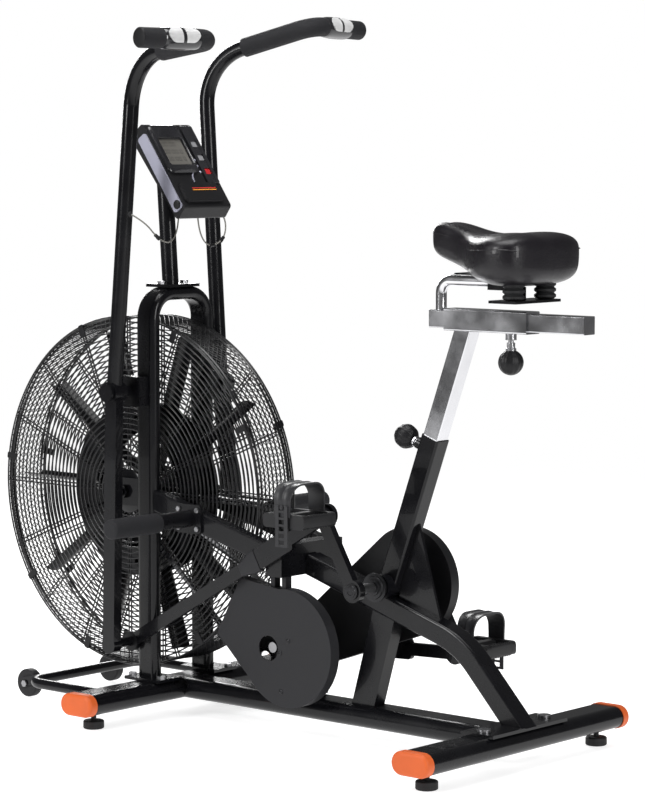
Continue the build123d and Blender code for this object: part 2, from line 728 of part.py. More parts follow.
# ---------------------------------------------------------------- cranks and pedals
for side_name, sign, pedal_at in (("left", -1, PEDAL_L), ("right", 1, PEDAL_R)):
    crank_turn = math.degrees(math.atan2(pedal_at[1] - BB[1], pedal_at[0] - BB[0]))
    crank_mid = ((BB[0] + pedal_at[0]) / 2, (BB[1] + pedal_at[1]) / 2)
    crank_face = Plane(origin=(0, sign * CRANK_IN, 0), x_dir=(1, 0, 0), z_dir=(0, sign, 0))
    mirror_z = -1 if sign > 0 else 1
    with BuildPart() as crank_arm:
        with BuildSketch(side_plane(sign * CRANK_IN + (CRANK_T if sign > 0 else 0))):
            with Locations(Location(crank_mid, crank_turn)):
                Rectangle(CRANK_LEN, 25)
            with Locations(BB):
                Circle(21)
            with Locations(pedal_at):
                Circle(16)
            with Locations(BB):
                Circle(10, mode=Mode.SUBTRACT)
            with Locations(pedal_at):
                Circle(7.06, mode=Mode.SUBTRACT)
        extrude(amount=CRANK_T)
    save(crank_arm, "crank_" + side_name)

    PEDAL_MID = sign * 171
    with BuildPart() as pedal:
        with BuildSketch(side_plane(sign * CRANK_IN + 1 if sign < 0 else 216)):
            with Locations(pedal_at):
                Circle(7)
        extrude(amount=216 - CRANK_IN + (1 if sign < 0 else 0))
        with BuildSketch(side_plane(PEDAL_MID + 45)):
            with Locations(pedal_at):
                RectangleRounded(98, 26, 6)
        extrude(amount=90)
        for window_x in (-28, 28):
            with Locations((pedal_at[0] + window_x, PEDAL_MID, pedal_at[1])):
                Box(28, 62, 40, mode=Mode.SUBTRACT)
    save(pedal, "pedal_" + side_name)

    # strap: loop over the foot, fixed to both sides of the pedal
    STRAP_TOP = 66.0
    with BuildPart() as pedal_strap:
        with BuildLine():
            FilletPolyline((pedal_at[0], PEDAL_MID - 46.5, pedal_at[1] + 8),
                           (pedal_at[0], PEDAL_MID - 46.5, pedal_at[1] + STRAP_TOP),
                           (pedal_at[0], PEDAL_MID + 46.5, pedal_at[1] + STRAP_TOP),
                           (pedal_at[0], PEDAL_MID + 46.5, pedal_at[1] + 8), radius=30)
        with BuildSketch(Plane(origin=(pedal_at[0], PEDAL_MID - 46.5, pedal_at[1] + 8),
                               x_dir=(1, 0, 0), z_dir=(0, 0, 1))):
            Rectangle(36, 3)
        sweep()
    save(pedal_strap, "pedal_strap_" + side_name)

# ---------------------------------------------------------------- swinging arms and rods
ARM_TUBE_R = 15.0
GRIP_R = 19.0
BEND = 3.9                      # upper tube leans rearward of the lower lever
UPPER = ((0, 14), (0, 642), (245, 690), (222, 688))
SPREAD = (0, 0, 50, 215)
for side_name, sign, lever_tilt, pedal_at in (("left", -1, 1.3, PEDAL_L), ("right", 1, -7.5, PEDAL_R)):
    upper_points = []
    for (x, z), out in zip(tilted(UPPER, PIVOT, lever_tilt + BEND), SPREAD):
        upper_points.append(Vector(x, sign * (ARM_Y + out), z))
    foot = tilted([(0, -LEVER_LEN)], PIVOT, lever_tilt)[0]
    with BuildPart() as arm:
        with BuildLine():
            FilletPolyline(*upper_points, radius=[110, 36])
        with BuildSketch(Plane(origin=upper_points[0], z_dir=upper_points[1] - upper_points[0])):
            Circle(ARM_TUBE_R)
            Circle(ARM_TUBE_R - 2, mode=Mode.SUBTRACT)
        sweep()
        lever_face = side_plane(sign * ARM_Y + 10)
        with BuildSketch(lever_face):
            with BuildLine():
                Polyline(*tilted([(-15, 0), (15, 0), (15, -LEVER_LEN), (-15, -LEVER_LEN)], PIVOT, lever_tilt),
                         close=True)
            make_face()
            with Locations(foot):
                Circle(17)
        extrude(amount=20)
        with BuildSketch(side_plane(sign * ARM_Y + 16)):
            with Locations(PIVOT):
                Circle(21)
        extrude(amount=32)
        with BuildSketch(side_plane(sign * ARM_Y + 20)):
            with Locations(PIVOT):
                Circle(10.06)
        extrude(amount=40, mode=Mode.SUBTRACT)
        with BuildSketch(side_plane(-88.5 if sign < 0 else 142)):
            with Locations(foot):
                Circle(9)
        extrude(amount=53.5)
    save(arm, "arm_" + side_name)

    run = upper_points[2] - upper_points[1]
    grip_start = upper_points[1] + run * (96 / run.length)
    with BuildPart() as grip:
        with BuildLine():
            FilletPolyline(grip_start, upper_points[2], upper_points[3], radius=[36])
        with BuildSketch(Plane(origin=grip_start, z_dir=run)):
            Circle(GRIP_R)
            Circle(ARM_TUBE_R, mode=Mode.SUBTRACT)
        sweep()
    save(grip, "grip_" + side_name)

    rod_turn = math.degrees(math.atan2(pedal_at[1] - foot[1], pedal_at[0] - foot[0]))
    rod_len = math.hypot(pedal_at[0] - foot[0], pedal_at[1] - foot[1])
    rod_mid = ((pedal_at[0] + foot[0]) / 2, (pedal_at[1] + foot[1]) / 2)
    with BuildPart() as rod:
        with BuildSketch(side_plane(sign * ROD_Y + ROD_T / 2)):
            with Locations(Location(rod_mid, rod_turn)):
                Rectangle(rod_len, 24)
                with Locations((rod_len * 0.24, 0)):
                    RectangleRounded(96, 40, 8)
            with Locations(foot):
                Circle(19)
            with Locations(pedal_at):
                Circle(21)
            with Locations(foot):
                Circle(9.06, mode=Mode.SUBTRACT)
        extrude(amount=ROD_T)
    save(rod, "rod_" + side_name)

# ---------------------------------------------------------------- seat
SLIDER_W = 32.0
with BuildPart() as seat_post:
    with BuildSketch(seat_plane(POST_FOOT)):
        RectangleRounded(POST_W, POST_D, 2)
        RectangleRounded(POST_W - 4, POST_D - 4, 1, mode=Mode.SUBTRACT)
    extrude(amount=360)
    with Locations((along(860), 0, SLIDE_Z + 80)):
        Box(300, 100, 200, mode=Mode.SUBTRACT)
    slide_start = Plane(origin=(along(765), 0, SLIDE_Z), x_dir=(0, 1, 0), z_dir=(1, 0, 0))
    with BuildSketch(slide_start):
        RectangleRounded(40, 40, 3)
    extrude(amount=185)
    with BuildSketch(slide_start.offset(-1)):
        RectangleRounded(SLIDER_W + 0.1, SLIDER_W + 0.1, 2)
    extrude(amount=190, mode=Mode.SUBTRACT)
    with BuildSketch(Plane.XY.offset(SLIDE_Z - 32)):
        with Locations((along(902), 0)):
            Circle(10)
    extrude(amount=13)
    with BuildSketch(Plane.XY.offset(SLIDE_Z - 33)):
        with Locations((along(902), 0)):
            Circle(5.1)
    extrude(amount=18, mode=Mode.SUBTRACT)
save(seat_post, "seat_post")

with BuildPart() as seat_slider:
    slider_start = Plane(origin=(along(728), 0, SLIDE_Z), x_dir=(0, 1, 0), z_dir=(1, 0, 0))
    with BuildSketch(slider_start):
        RectangleRounded(SLIDER_W, SLIDER_W, 2)
    extrude(amount=344)
    with BuildSketch(slider_start.offset(4)):
        RectangleRounded(SLIDER_W - 5, SLIDER_W - 5, 1)
    extrude(amount=336, mode=Mode.SUBTRACT)
    with BuildLine():
        FilletPolyline((along(744), 0, SLIDE_Z + 14), (along(744), 0, 866), (along(905), 0, 866), radius=24)
    with BuildSketch(Plane.XY.offset(SLIDE_Z + 14)):
        with Locations((along(744), 0)):
            Circle(10)
    sweep()
save(seat_slider, "seat_slider")

PLATE_Z = 880.0
with BuildPart() as saddle_frame:
    with Locations((along(882), 0, 866)):
        Box(40, 34, 28)
    with Locations((along(900), 0, PLATE_Z + 1.5)):
        Box(150, 130, 3)
    with Locations((along(912), 0, 846)):
        Box(20, 34, 24)
    with Locations((along(932), 0, 834)):
        Box(60, 132, 5)
    with BuildSketch(Plane(origin=(along(800), 0, 866), x_dir=(0, 1, 0), z_dir=(1, 0, 0))):
        Circle(10)
    extrude(amount=105, mode=Mode.SUBTRACT)
save(saddle_frame, "saddle_frame")

with BuildPart() as saddle_springs:
    with BuildSketch(Plane.XY.offset(836.5)):
        with Locations((along(942), -46), (along(942), 46)):
            Circle(20)
    extrude(amount=PLATE_Z - 836.5)
save(saddle_springs, "saddle_springs")

SADDLE_TOP = 976.0
SADDLE_BACK_TOP = 955.0
SADDLE_SKIRT = 862.0
with BuildPart() as saddle:
    with BuildSketch(Plane.XY.offset(SADDLE_SKIRT)):
        with BuildLine():
            Spline((along(726), 0), (along(742), 26), (along(800), 42), (along(862), 84), (along(925), 116),
                   (along(980), 106), (along(1004), 60), (along(1006), 0))
            mirror(about=Plane.XZ)
        make_face()
    extrude(amount=SADDLE_TOP - SADDLE_SKIRT)
    with BuildSketch(side_plane(150)):
        with BuildLine():
            Polyline((along(700), SADDLE_SKIRT - 5), (along(900), SADDLE_SKIRT - 5), (along(800), 892),
                     (along(700), 900), close=True)
        make_face()
        with BuildLine():
            Polyline((along(700), SADDLE_TOP), (along(1010), SADDLE_BACK_TOP), (along(1010), SADDLE_TOP + 9),
                     (along(700), SADDLE_TOP + 9), close=True)
        make_face()
    extrude(amount=300, mode=Mode.SUBTRACT)
    top_rim = saddle.faces().sort_by(Axis.Z)[-1].edges()
    fillet(top_rim, 24)
    with Locations((along(905), 0, 860)):
        Box(170, 160, 46, mode=Mode.SUBTRACT)
save(saddle, "saddle")

# spring-loaded pull knobs
with BuildPart() as post_knob:
    with BuildSketch(pin_plane.offset(-1)):
        Circle(5)
    extrude(amount=34)
    with BuildSketch(pin_plane.offset(15.5)):
        Circle(8)
    extrude(amount=10)
    with Locations(pin_plane.offset(44)):
        Sphere(23)
save(post_knob, "post_knob")

with BuildPart() as slide_knob:
    with BuildSketch(Plane.XY.offset(SLIDE_Z - 52)):
        with Locations((along(902), 0)):
            Circle(5)
    extrude(amount=52 - 18)
    with BuildSketch(Plane.XY.offset(SLIDE_Z - 46)):
        with Locations((along(902), 0)):
            Circle(8)
    extrude(amount=13)
    with Locations((along(902), 0, SLIDE_Z - 72)):
        Sphere(23)
save(slide_knob, "slide_knob")

# ---------------------------------------------------------------- fasteners
with BuildPart() as frame_bolts:
    for bolt_y in (-88, 88):
        with BuildSketch(Plane.XY.offset(BASE_TOP + 6)):
            with Locations((REAR_X, bolt_y)):
                Circle(12)
        extrude(amount=5)
    for bolt_x in (along(52), along(130)):
        for bolt_y in (-LEG_Y - 20, LEG_Y + 20):
            with BuildSketch(Plane.XY.offset(BASE_TOP + FOOT_PLATE_T)):
                with Locations((bolt_x, bolt_y)):
                    RegularPolygon(8, 6)
            extrude(amount=6)
    for bolt_y in (-32, 32):
        with BuildSketch(Plane.XY.offset(ARCH_TOP + LEG_T / 2 + 6)):
            with Locations((along(74), bolt_y)):
                RegularPolygon(8, 6)
        extrude(amount=6)
save(frame_bolts, "frame_bolts")

# ---------------------------------------------------------------- pulse wires
WIRE_R = 1.5
arm_l = tilted([(ARM_TUBE_R, 345)], PIVOT, 1.3 + BEND)[0]
arm_r = tilted([(ARM_TUBE_R, 345)], PIVOT, -7.5 + BEND)[0]


def soft_corners(points):
    """Bend radius for every corner: as open as the shorter run beside it allows."""
    radii = []
    for before, here, after in zip(points, points[1:], points[2:]):
        a = Vector(here) - Vector(before)
        b = Vector(after) - Vector(here)
        turn = math.radians(a.get_angle(b))
        radii.append(0.45 * min(a.length, b.length) / math.tan(turn / 2))
    return radii




def under_console(x):
    """Height at which a wire coming straight up meets the console's sloping back."""
    slope = (CONSOLE_BACK[1] - CONSOLE_CHIN[1]) / (CONSOLE_CHIN[0] - CONSOLE_BACK[0])
    return CONSOLE_CHIN[1] + (CONSOLE_CHIN[0] - x - WIRE_R) * slope - 0.2


wires = {
    "pulse_wire_left": [(arm_l[0] + 1, -ARM_Y, arm_l[1]), (arm_l[0] + 30, -ARM_Y + 8, arm_l[1] - 14),
                        (along(140), -110, 930), (along(128), -66, 918), (along(116), -34, 934),
                        (along(112), -22, 966), (along(112), -20, under_console(along(112)))],
    "pulse_wire_right": [(arm_r[0] + 1, ARM_Y, arm_r[1]), (arm_r[0] + 30, ARM_Y - 8, arm_r[1] - 14),
                         (along(110), 112, 925), (along(112), 70, 908), (along(120), 36, 922),
                         (along(120), 22, 958), (along(120), 20, under_console(along(120)))],
}
for wire_name, wire_points in wires.items():
    radii = soft_corners(wire_points)
    with BuildPart() as wire:
        with BuildLine() as wire_line:
            FilletPolyline(*wire_points, radius=radii)
        first = Vector(wire_points[1]) - Vector(wire_points[0])
        with BuildSketch(Plane(origin=wire_points[0], z_dir=first)):
            Circle(WIRE_R)
        sweep()
    length = wire_line.wires()[0].length
    print(wire_name, "length", round(length, 1), "radii", [round(r, 1) for r in radii],
          "volume", round(wire.part.volume, 1), "expected", round(length * math.pi * WIRE_R ** 2, 1))
    save(wire, wire_name)
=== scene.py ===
import json
import math

import bmesh
import bpy
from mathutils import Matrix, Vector


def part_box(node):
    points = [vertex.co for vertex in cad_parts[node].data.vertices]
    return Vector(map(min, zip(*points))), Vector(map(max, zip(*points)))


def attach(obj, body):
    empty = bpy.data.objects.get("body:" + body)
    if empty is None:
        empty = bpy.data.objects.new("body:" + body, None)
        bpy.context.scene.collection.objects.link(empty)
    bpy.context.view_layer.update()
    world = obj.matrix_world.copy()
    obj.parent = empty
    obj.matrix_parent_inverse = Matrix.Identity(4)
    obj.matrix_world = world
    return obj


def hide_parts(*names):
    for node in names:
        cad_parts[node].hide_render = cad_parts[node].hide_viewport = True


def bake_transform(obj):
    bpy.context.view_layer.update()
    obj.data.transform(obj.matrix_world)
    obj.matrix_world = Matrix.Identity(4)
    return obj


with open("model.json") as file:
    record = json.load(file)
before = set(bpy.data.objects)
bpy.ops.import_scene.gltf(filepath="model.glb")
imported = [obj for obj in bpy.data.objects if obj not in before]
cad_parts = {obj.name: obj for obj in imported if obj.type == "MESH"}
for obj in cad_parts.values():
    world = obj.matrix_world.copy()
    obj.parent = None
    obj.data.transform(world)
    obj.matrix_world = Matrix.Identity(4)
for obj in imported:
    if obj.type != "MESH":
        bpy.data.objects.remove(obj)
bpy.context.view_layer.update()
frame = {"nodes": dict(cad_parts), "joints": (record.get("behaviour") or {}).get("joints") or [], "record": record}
nodes = frame["nodes"]
joints = {joint["name"]: joint for joint in frame["joints"]}

# ------------------------------------------------------------------ measures taken from the model
rim_low, rim_high = [Vector(corner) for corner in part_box("cage_rim")]
FAN = (rim_low + rim_high) / 2
CAGE_R = (rim_high.z - rim_low.z) / 2
CAGE_HALF = -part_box("grille_left")[0][1]                # the grilles stand this far either side
SIDES = (("left", -1), ("right", 1))


def joint_at(name):
    return Vector(joints[name]["pos_m"])


def node_box(name):
    low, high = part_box(name)
    return Vector(low), Vector(high)


# ------------------------------------------------------------------ camera
AZIMUTH = math.radians(40.9)
ELEVATION = math.radians(5.0)
DISTANCE = 5.5
AIM = Vector((0.097, 0.0, 0.632))
back = Vector((math.sin(AZIMUTH) * math.cos(ELEVATION),
               -math.cos(AZIMUTH) * math.cos(ELEVATION), math.sin(ELEVATION)))
camera_data = bpy.data.cameras.new("studio_camera")
camera_data.lens = 132.2
camera_data.sensor_width = 36
camera = bpy.data.objects.new("studio_camera", camera_data)
bpy.context.collection.objects.link(camera)
camera.location = AIM + back * DISTANCE
camera.rotation_euler = back.to_track_quat("Z", "Y").to_euler()
bpy.context.scene.camera = camera


# ------------------------------------------------------------------ materials
def value_of(tree, kind, **settings):
    node = tree.nodes.new(kind)
    for key, setting in settings.items():
        if key.startswith("in_"):
            node.inputs[key[3:].replace("_", " ")].default_value = setting
        else:
            setattr(node, key, setting)
    return node


def colour_socket(sockets, name):
    """A Mix node carries one socket of each name for every data type; this picks the colour one."""
    return [socket for socket in sockets if socket.name == name and socket.type == "RGBA"][0]


finish = {}


def material(name, colour, rough, metal=0.0, grain=220.0, bump=0.08, tone=0.25, coat=0.0, wear=0.0,
             wear_colour=(0.12, 0.12, 0.13), stretch=(1, 1, 1), cells=False, shine=0.3):
    """Painted, plated or moulded finish: colour varies slowly, roughness and surface vary finely."""
    made = bpy.data.materials.new(name)
    made.use_nodes = True
    tree = made.node_tree
    shader = tree.nodes["Principled BSDF"]
    shader.inputs["Metallic"].default_value = metal
    shader.inputs["Coat Weight"].default_value = coat
    shader.inputs["Specular IOR Level"].default_value = shine
    place = value_of(tree, "ShaderNodeTexCoord")
    spread = value_of(tree, "ShaderNodeMapping")
    spread.inputs["Scale"].default_value = stretch
    tree.links.new(place.outputs["Object"], spread.inputs["Vector"])
    slow = value_of(tree, "ShaderNodeTexNoise", in_Scale=9.0, in_Detail=6.0, in_Roughness=0.6)
    tree.links.new(place.outputs["Object"], slow.inputs["Vector"])
    if cells:
        fine = value_of(tree, "ShaderNodeTexVoronoi", in_Scale=grain)
        fine_out = fine.outputs["Distance"]
    else:
        fine = value_of(tree, "ShaderNodeTexNoise", in_Scale=grain, in_Detail=3.0)
        fine_out = fine.outputs["Fac"]
    tree.links.new(spread.outputs["Vector"], fine.inputs["Vector"])
    shade = value_of(tree, "ShaderNodeMapRange", in_From_Min=0.3, in_From_Max=0.7,
                     in_To_Min=1.0 - tone, in_To_Max=1.0 + tone)
    tree.links.new(slow.outputs["Fac"], shade.inputs["Value"])
    tint = value_of(tree, "ShaderNodeMix", data_type="RGBA", blend_type="MULTIPLY")
    tint.inputs["Factor"].default_value = 1.0
    colour_socket(tint.inputs, "A").default_value = (*colour, 1.0)
    tree.links.new(shade.outputs["Result"], colour_socket(tint.inputs, "B"))
    colour_out = colour_socket(tint.outputs, "Result")
    if wear:
        spots = value_of(tree, "ShaderNodeTexNoise", in_Scale=55.0, in_Detail=8.0, in_Roughness=0.75)
        tree.links.new(place.outputs["Object"], spots.inputs["Vector"])
        edge = value_of(tree, "ShaderNodeMapRange", in_From_Min=0.72 - 0.08 * wear, in_From_Max=0.76)
        tree.links.new(spots.outputs["Fac"], edge.inputs["Value"])
        worn = value_of(tree, "ShaderNodeMix", data_type="RGBA")
        colour_socket(worn.inputs, "B").default_value = (*wear_colour, 1.0)
        tree.links.new(edge.outputs["Result"], worn.inputs["Factor"])
        tree.links.new(colour_out, colour_socket(worn.inputs, "A"))
        colour_out = colour_socket(worn.outputs, "Result")
    tree.links.new(colour_out, shader.inputs["Base Color"])
    gloss = value_of(tree, "ShaderNodeMapRange", in_From_Min=0.3, in_From_Max=0.7,
                     in_To_Min=max(0.02, rough - 0.07), in_To_Max=min(1.0, rough + 0.1))
    tree.links.new(slow.outputs["Fac"], gloss.inputs["Value"])
    tree.links.new(gloss.outputs["Result"], shader.inputs["Roughness"])
    relief = value_of(tree, "ShaderNodeBump", in_Strength=bump, in_Distance=0.001)
    tree.links.new(fine_out, relief.inputs["Height"])
    tree.links.new(relief.outputs["Normal"], shader.inputs["Normal"])
    finish[name] = made
    return made


material("black_paint", (0.004, 0.004, 0.005), 0.24, grain=420, bump=0.08, coat=0.16, wear=0.3,
         shine=0.18)
material("wire_paint", (0.006, 0.006, 0.007), 0.3, grain=300, bump=0.05, coat=0.3)
material("grey_paint", (0.016, 0.016, 0.018), 0.48, grain=500, bump=0.12, tone=0.1, wear=0.15,
         shine=0.22)
material("chrome_plate", (0.62, 0.62, 0.64), 0.16, metal=1.0, grain=90, bump=0.01, tone=0.08)
material("zinc_steel", (0.3, 0.3, 0.31), 0.32, metal=1.0, grain=180, bump=0.08,
         stretch=(1, 6, 1))
material("black_plastic", (0.008, 0.008, 0.009), 0.42, grain=900, bump=0.18, tone=0.15, shine=0.22)
material("gloss_plastic", (0.013, 0.013, 0.015), 0.2, grain=60, bump=0.01, coat=0.6)
material("black_oxide", (0.03, 0.03, 0.032), 0.3, metal=0.8, grain=300, bump=0.08)
material("orange_plastic", (0.56, 0.1, 0.02), 0.45, grain=700, bump=0.12, tone=0.12)
material("silver_plastic", (0.36, 0.36, 0.44), 0.3, metal=0.35, grain=200, bump=0.02,
         tone=0.1, coat=0.3)
material("screen_glass", (0.11, 0.105, 0.095), 0.14, grain=40, bump=0.0, tone=0.08, coat=0.8)
material("sensor_steel", (0.62, 0.62, 0.62), 0.42, metal=0.35, grain=260, bump=0.06, shine=0.5)
material("screen_ink", (0.02, 0.02, 0.02), 0.4, grain=40, bump=0.0)
material("key_plastic", (0.2, 0.2, 0.21), 0.45, grain=600, bump=0.1, tone=0.1)
material("red_key", (0.4, 0.012, 0.016), 0.4, grain=600, bump=0.1, tone=0.1)
material("foam_rubber", (0.010, 0.010, 0.012), 0.7, grain=1400, bump=0.5, tone=0.15,
         cells=True)
material("black_rubber", (0.01, 0.01, 0.011), 0.6, grain=700, bump=0.25, tone=0.2)
material("strap_rubber", (0.022, 0.022, 0.024), 0.38, grain=500, bump=0.12, tone=0.12)
material("pedal_plastic", (0.014, 0.014, 0.015), 0.42, grain=800, bump=0.15, tone=0.15, shine=0.25)
material("wire_jacket", (0.16, 0.155, 0.14), 0.45, grain=300, bump=0.08)
material("decal_red", (0.5, 0.03, 0.03), 0.35, grain=300, bump=0.02, tone=0.1)
material("decal_orange", (0.75, 0.3, 0.04), 0.35, grain=300, bump=0.02, tone=0.1)
material("decal_white", (0.78, 0.77, 0.76), 0.4, grain=300, bump=0.02, tone=0.06)


def leather():
    """Glossy black hide: pebbled cells over soft folds."""
    made = material("saddle_leather", (0.007, 0.006, 0.008), 0.3, grain=620, bump=0.35, tone=0.2, coat=0.16,
                    cells=True, shine=0.24)
    tree = made.node_tree
    shader = tree.nodes["Principled BSDF"]
    relief = [n for n in tree.nodes if n.type == "BUMP"][0]
    place = [n for n in tree.nodes if n.type == "TEX_COORD"][0]
    folds = value_of(tree, "ShaderNodeTexNoise", in_Scale=26.0, in_Detail=4.0)
    soft = value_of(tree, "ShaderNodeBump", in_Strength=0.25, in_Distance=0.004)
    tree.links.new(place.outputs["Object"], folds.inputs["Vector"])
    tree.links.new(folds.outputs["Fac"], soft.inputs["Height"])
    tree.links.new(soft.outputs["Normal"], relief.inputs["Normal"])
    tree.links.new(relief.outputs["Normal"], shader.inputs["Normal"])


leather()

for entry in frame["record"]["subparts"]:
    cad_node = nodes[entry["node"]]
    cad_node.data.materials.clear()
    cad_node.data.materials.append(finish[entry["material_slot"]])


# ------------------------------------------------------------------ building helpers
def keep(name, shape, look, body, replaces=()):
    """Turns a finished bmesh or mesh into a named piece on a body; with None it goes on no body.

    It is given the finish named by the look."""
    if isinstance(shape, bmesh.types.BMesh):
        mesh = bpy.data.meshes.new(name)
        bmesh.ops.recalc_face_normals(shape, faces=shape.faces)
        shape.to_mesh(mesh)
        shape.free()
    else:
        mesh = shape
        mesh.name = name
    mesh.materials.clear()
    mesh.materials.append(finish[look])
    piece = bpy.data.objects.new(name, mesh)
    bpy.context.collection.objects.link(piece)
    if body:
        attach(piece, body)
    if replaces:
        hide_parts(*replaces)
    return piece


def smooth(piece, angle=35.0):
    piece.data.shade_smooth()
    piece.data.set_sharp_from_angle(angle=math.radians(angle))
    return piece


def rounded_path(points, radius, steps=8):
    """The polyline with every inner corner turned into an arc of about that radius."""
    out = [Vector(points[0])]
    for before, here, after in zip(points, points[1:], points[2:]):
        before, here, after = Vector(before), Vector(here), Vector(after)
        a = (before - here).normalized()
        b = (after - here).normalized()
        half = a.angle(b) / 2
        cut = min(radius / math.tan(half), (before - here).length * 0.49, (after - here).length * 0.49)
        centre = here + (a + b).normalized() * (cut / math.cos(half))
        start = here + a * cut - centre
        end = here + b * cut - centre
        for step in range(steps + 1):
            out.append(centre + start.normalized().slerp(end.normalized(), step / steps) * start.length)
    out.append(Vector(points[-1]))
    return out


def sweep(bm, path, outline, up=Vector((0, 0, 1)), closed=False, caps=True):
    """Carries a flat outline (u, v) along a path, keeping it square to the path."""
    rings = []
    side = None
    for index, here in enumerate(path):
        if closed:
            ahead = path[(index + 1) % len(path)] - path[index - 1]
        else:
            ahead = path[min(index + 1, len(path) - 1)] - path[max(index - 1, 0)]
        ahead = ahead.normalized()
        guess = up if side is None else side.cross(ahead) * -1
        if side is None and abs(ahead.dot(up)) > 0.95:
            guess = Vector((1, 0, 0))
        side = guess.cross(ahead).normalized()
        lift = ahead.cross(side).normalized()
        side = lift.cross(ahead).normalized()
        rings.append([bm.verts.new(here + side * u + lift * v) for u, v in outline])
    skin(bm, rings + rings[:1] if closed else rings, caps=False)
    if caps and not closed:
        bm.faces.new(rings[0])
        bm.faces.new(list(reversed(rings[-1])))


def skin(bm, rings, caps=True):
    """Faces between neighbouring rings of vertices, and over the two ends."""
    count = len(rings[0])
    for first, second in zip(rings, rings[1:]):
        for k in range(count):
            m = (k + 1) % count
            bm.faces.new((first[k], first[m], second[m], second[k]))
    if caps:
        bm.faces.new(list(reversed(rings[0])))
        bm.faces.new(rings[-1])


def slab(bm, top, under):
    """Closes two matching grids of vertices into one thin solid."""
    for one, two, low_one, low_two in zip(top, top[1:], under, under[1:]):
        for j in range(len(one) - 1):
            bm.faces.new((one[j], one[j + 1], two[j + 1], two[j]))
            bm.faces.new((low_one[j], low_two[j], low_two[j + 1], low_one[j + 1]))
        bm.faces.new((one[0], two[0], low_two[0], low_one[0]))
        bm.faces.new((one[-1], low_one[-1], low_two[-1], two[-1]))
    for j in range(len(top[0]) - 1):
        bm.faces.new((top[0][j], under[0][j], under[0][j + 1], top[0][j + 1]))
        bm.faces.new((top[-1][j], top[-1][j + 1], under[-1][j + 1], under[-1][j]))


def circle(radius, sides=20):
    return [(radius * math.cos(2 * math.pi * k / sides), radius * math.sin(2 * math.pi * k / sides))
            for k in range(sides)]


def rounded_rect(width, height, radius, steps=4):
    points = []
    for cx, cy, start in ((1, 1, 0), (-1, 1, 90), (-1, -1, 180), (1, -1, 270)):
        for step in range(steps + 1):
            turn = math.radians(start + 90 * step / steps)
            points.append((cx * (width / 2 - radius) + radius * math.cos(turn),
                           cy * (height / 2 - radius) + radius * math.sin(turn)))
    return points


def axes_from(normal, right):
    normal = Vector(normal).normalized()
    right = (Vector(right) - normal * normal.dot(Vector(right))).normalized()
    return right, normal.cross(right), normal


def plate(bm, centre, normal, right, outline, thick, bevel=0.0):
    """A flat plate from centre outward along normal, with a small chamfer on its outer edge."""
    u, v, n = axes_from(normal, right)
    levels = [(0.0, 1.0)]
    if bevel:
        levels += [(thick - bevel, 1.0)]
    levels += [(thick, None)]
    rings = []
    for height, scale in levels:
        ring = []
        for a, b in outline:
            if scale is None and bevel:
                length = math.hypot(a, b)
                shrink = max(0.0, 1 - bevel / max(length, 1e-6))
                a, b = a * shrink, b * shrink
            ring.append(bm.verts.new(Vector(centre) + u * a + v * b + n * height))
        rings.append(ring)
    skin(bm, rings)


def lathe(bm, centre, axis, profile, sides=40):
    """Turns (height, radius) pairs about an axis; the two ends are closed."""
    right = (1, 0, 0) if abs(Vector(axis).normalized().x) < 0.9 else (0, 1, 0)
    u, v, n = axes_from(axis, right)
    rings = []
    for height, radius in profile:
        rings.append([bm.verts.new(Vector(centre) + n * height
                                   + (u * math.cos(2 * math.pi * k / sides)
                                      + v * math.sin(2 * math.pi * k / sides)) * radius)
                      for k in range(sides)])
    skin(bm, rings)


def dome(bm, centre, axis, radius, height):
    profile = [(0, radius)]
    for step in range(1, 7):
        turn = math.pi / 2 * step / 6
        profile.append((height * math.sin(turn), max(radius * math.cos(turn), 0.0004)))
    lathe(bm, centre, axis, profile, 24)


def hexagon(bm, centre, axis, radius, height):
    right = (1, 0, 0) if abs(Vector(axis).x) < 0.9 else (0, 1, 0)
    plate(bm, centre, axis, right, [(radius * math.cos(math.pi * k / 3), radius * math.sin(math.pi * k / 3))
                                    for k in range(6)], height, 0.0008)


# ------------------------------------------------------------------ pulse wires
WIRE_D = 0.003
ARM_Y = 0.15                                        # each swinging arm stands this far from the middle
PEDAL_Y = 0.171
GROMMET_AT = (15, 345)                              # on the arm's front face, mm from its pivot
ARM_PIVOT = {side: joint_at("arm_" + side + "_swing") for side, sign in SIDES}
fan_x = FAN.x * 1000


def tilt(x, z, side, angle):
    c, s = math.cos(math.radians(angle)), math.sin(math.radians(angle))
    pivot = ARM_PIVOT[side]
    return pivot.x + (x * c + z * s) / 1000, pivot.z + (-x * s + z * c) / 1000


UPPER_TILT = {"left": 5.2, "right": -3.6}
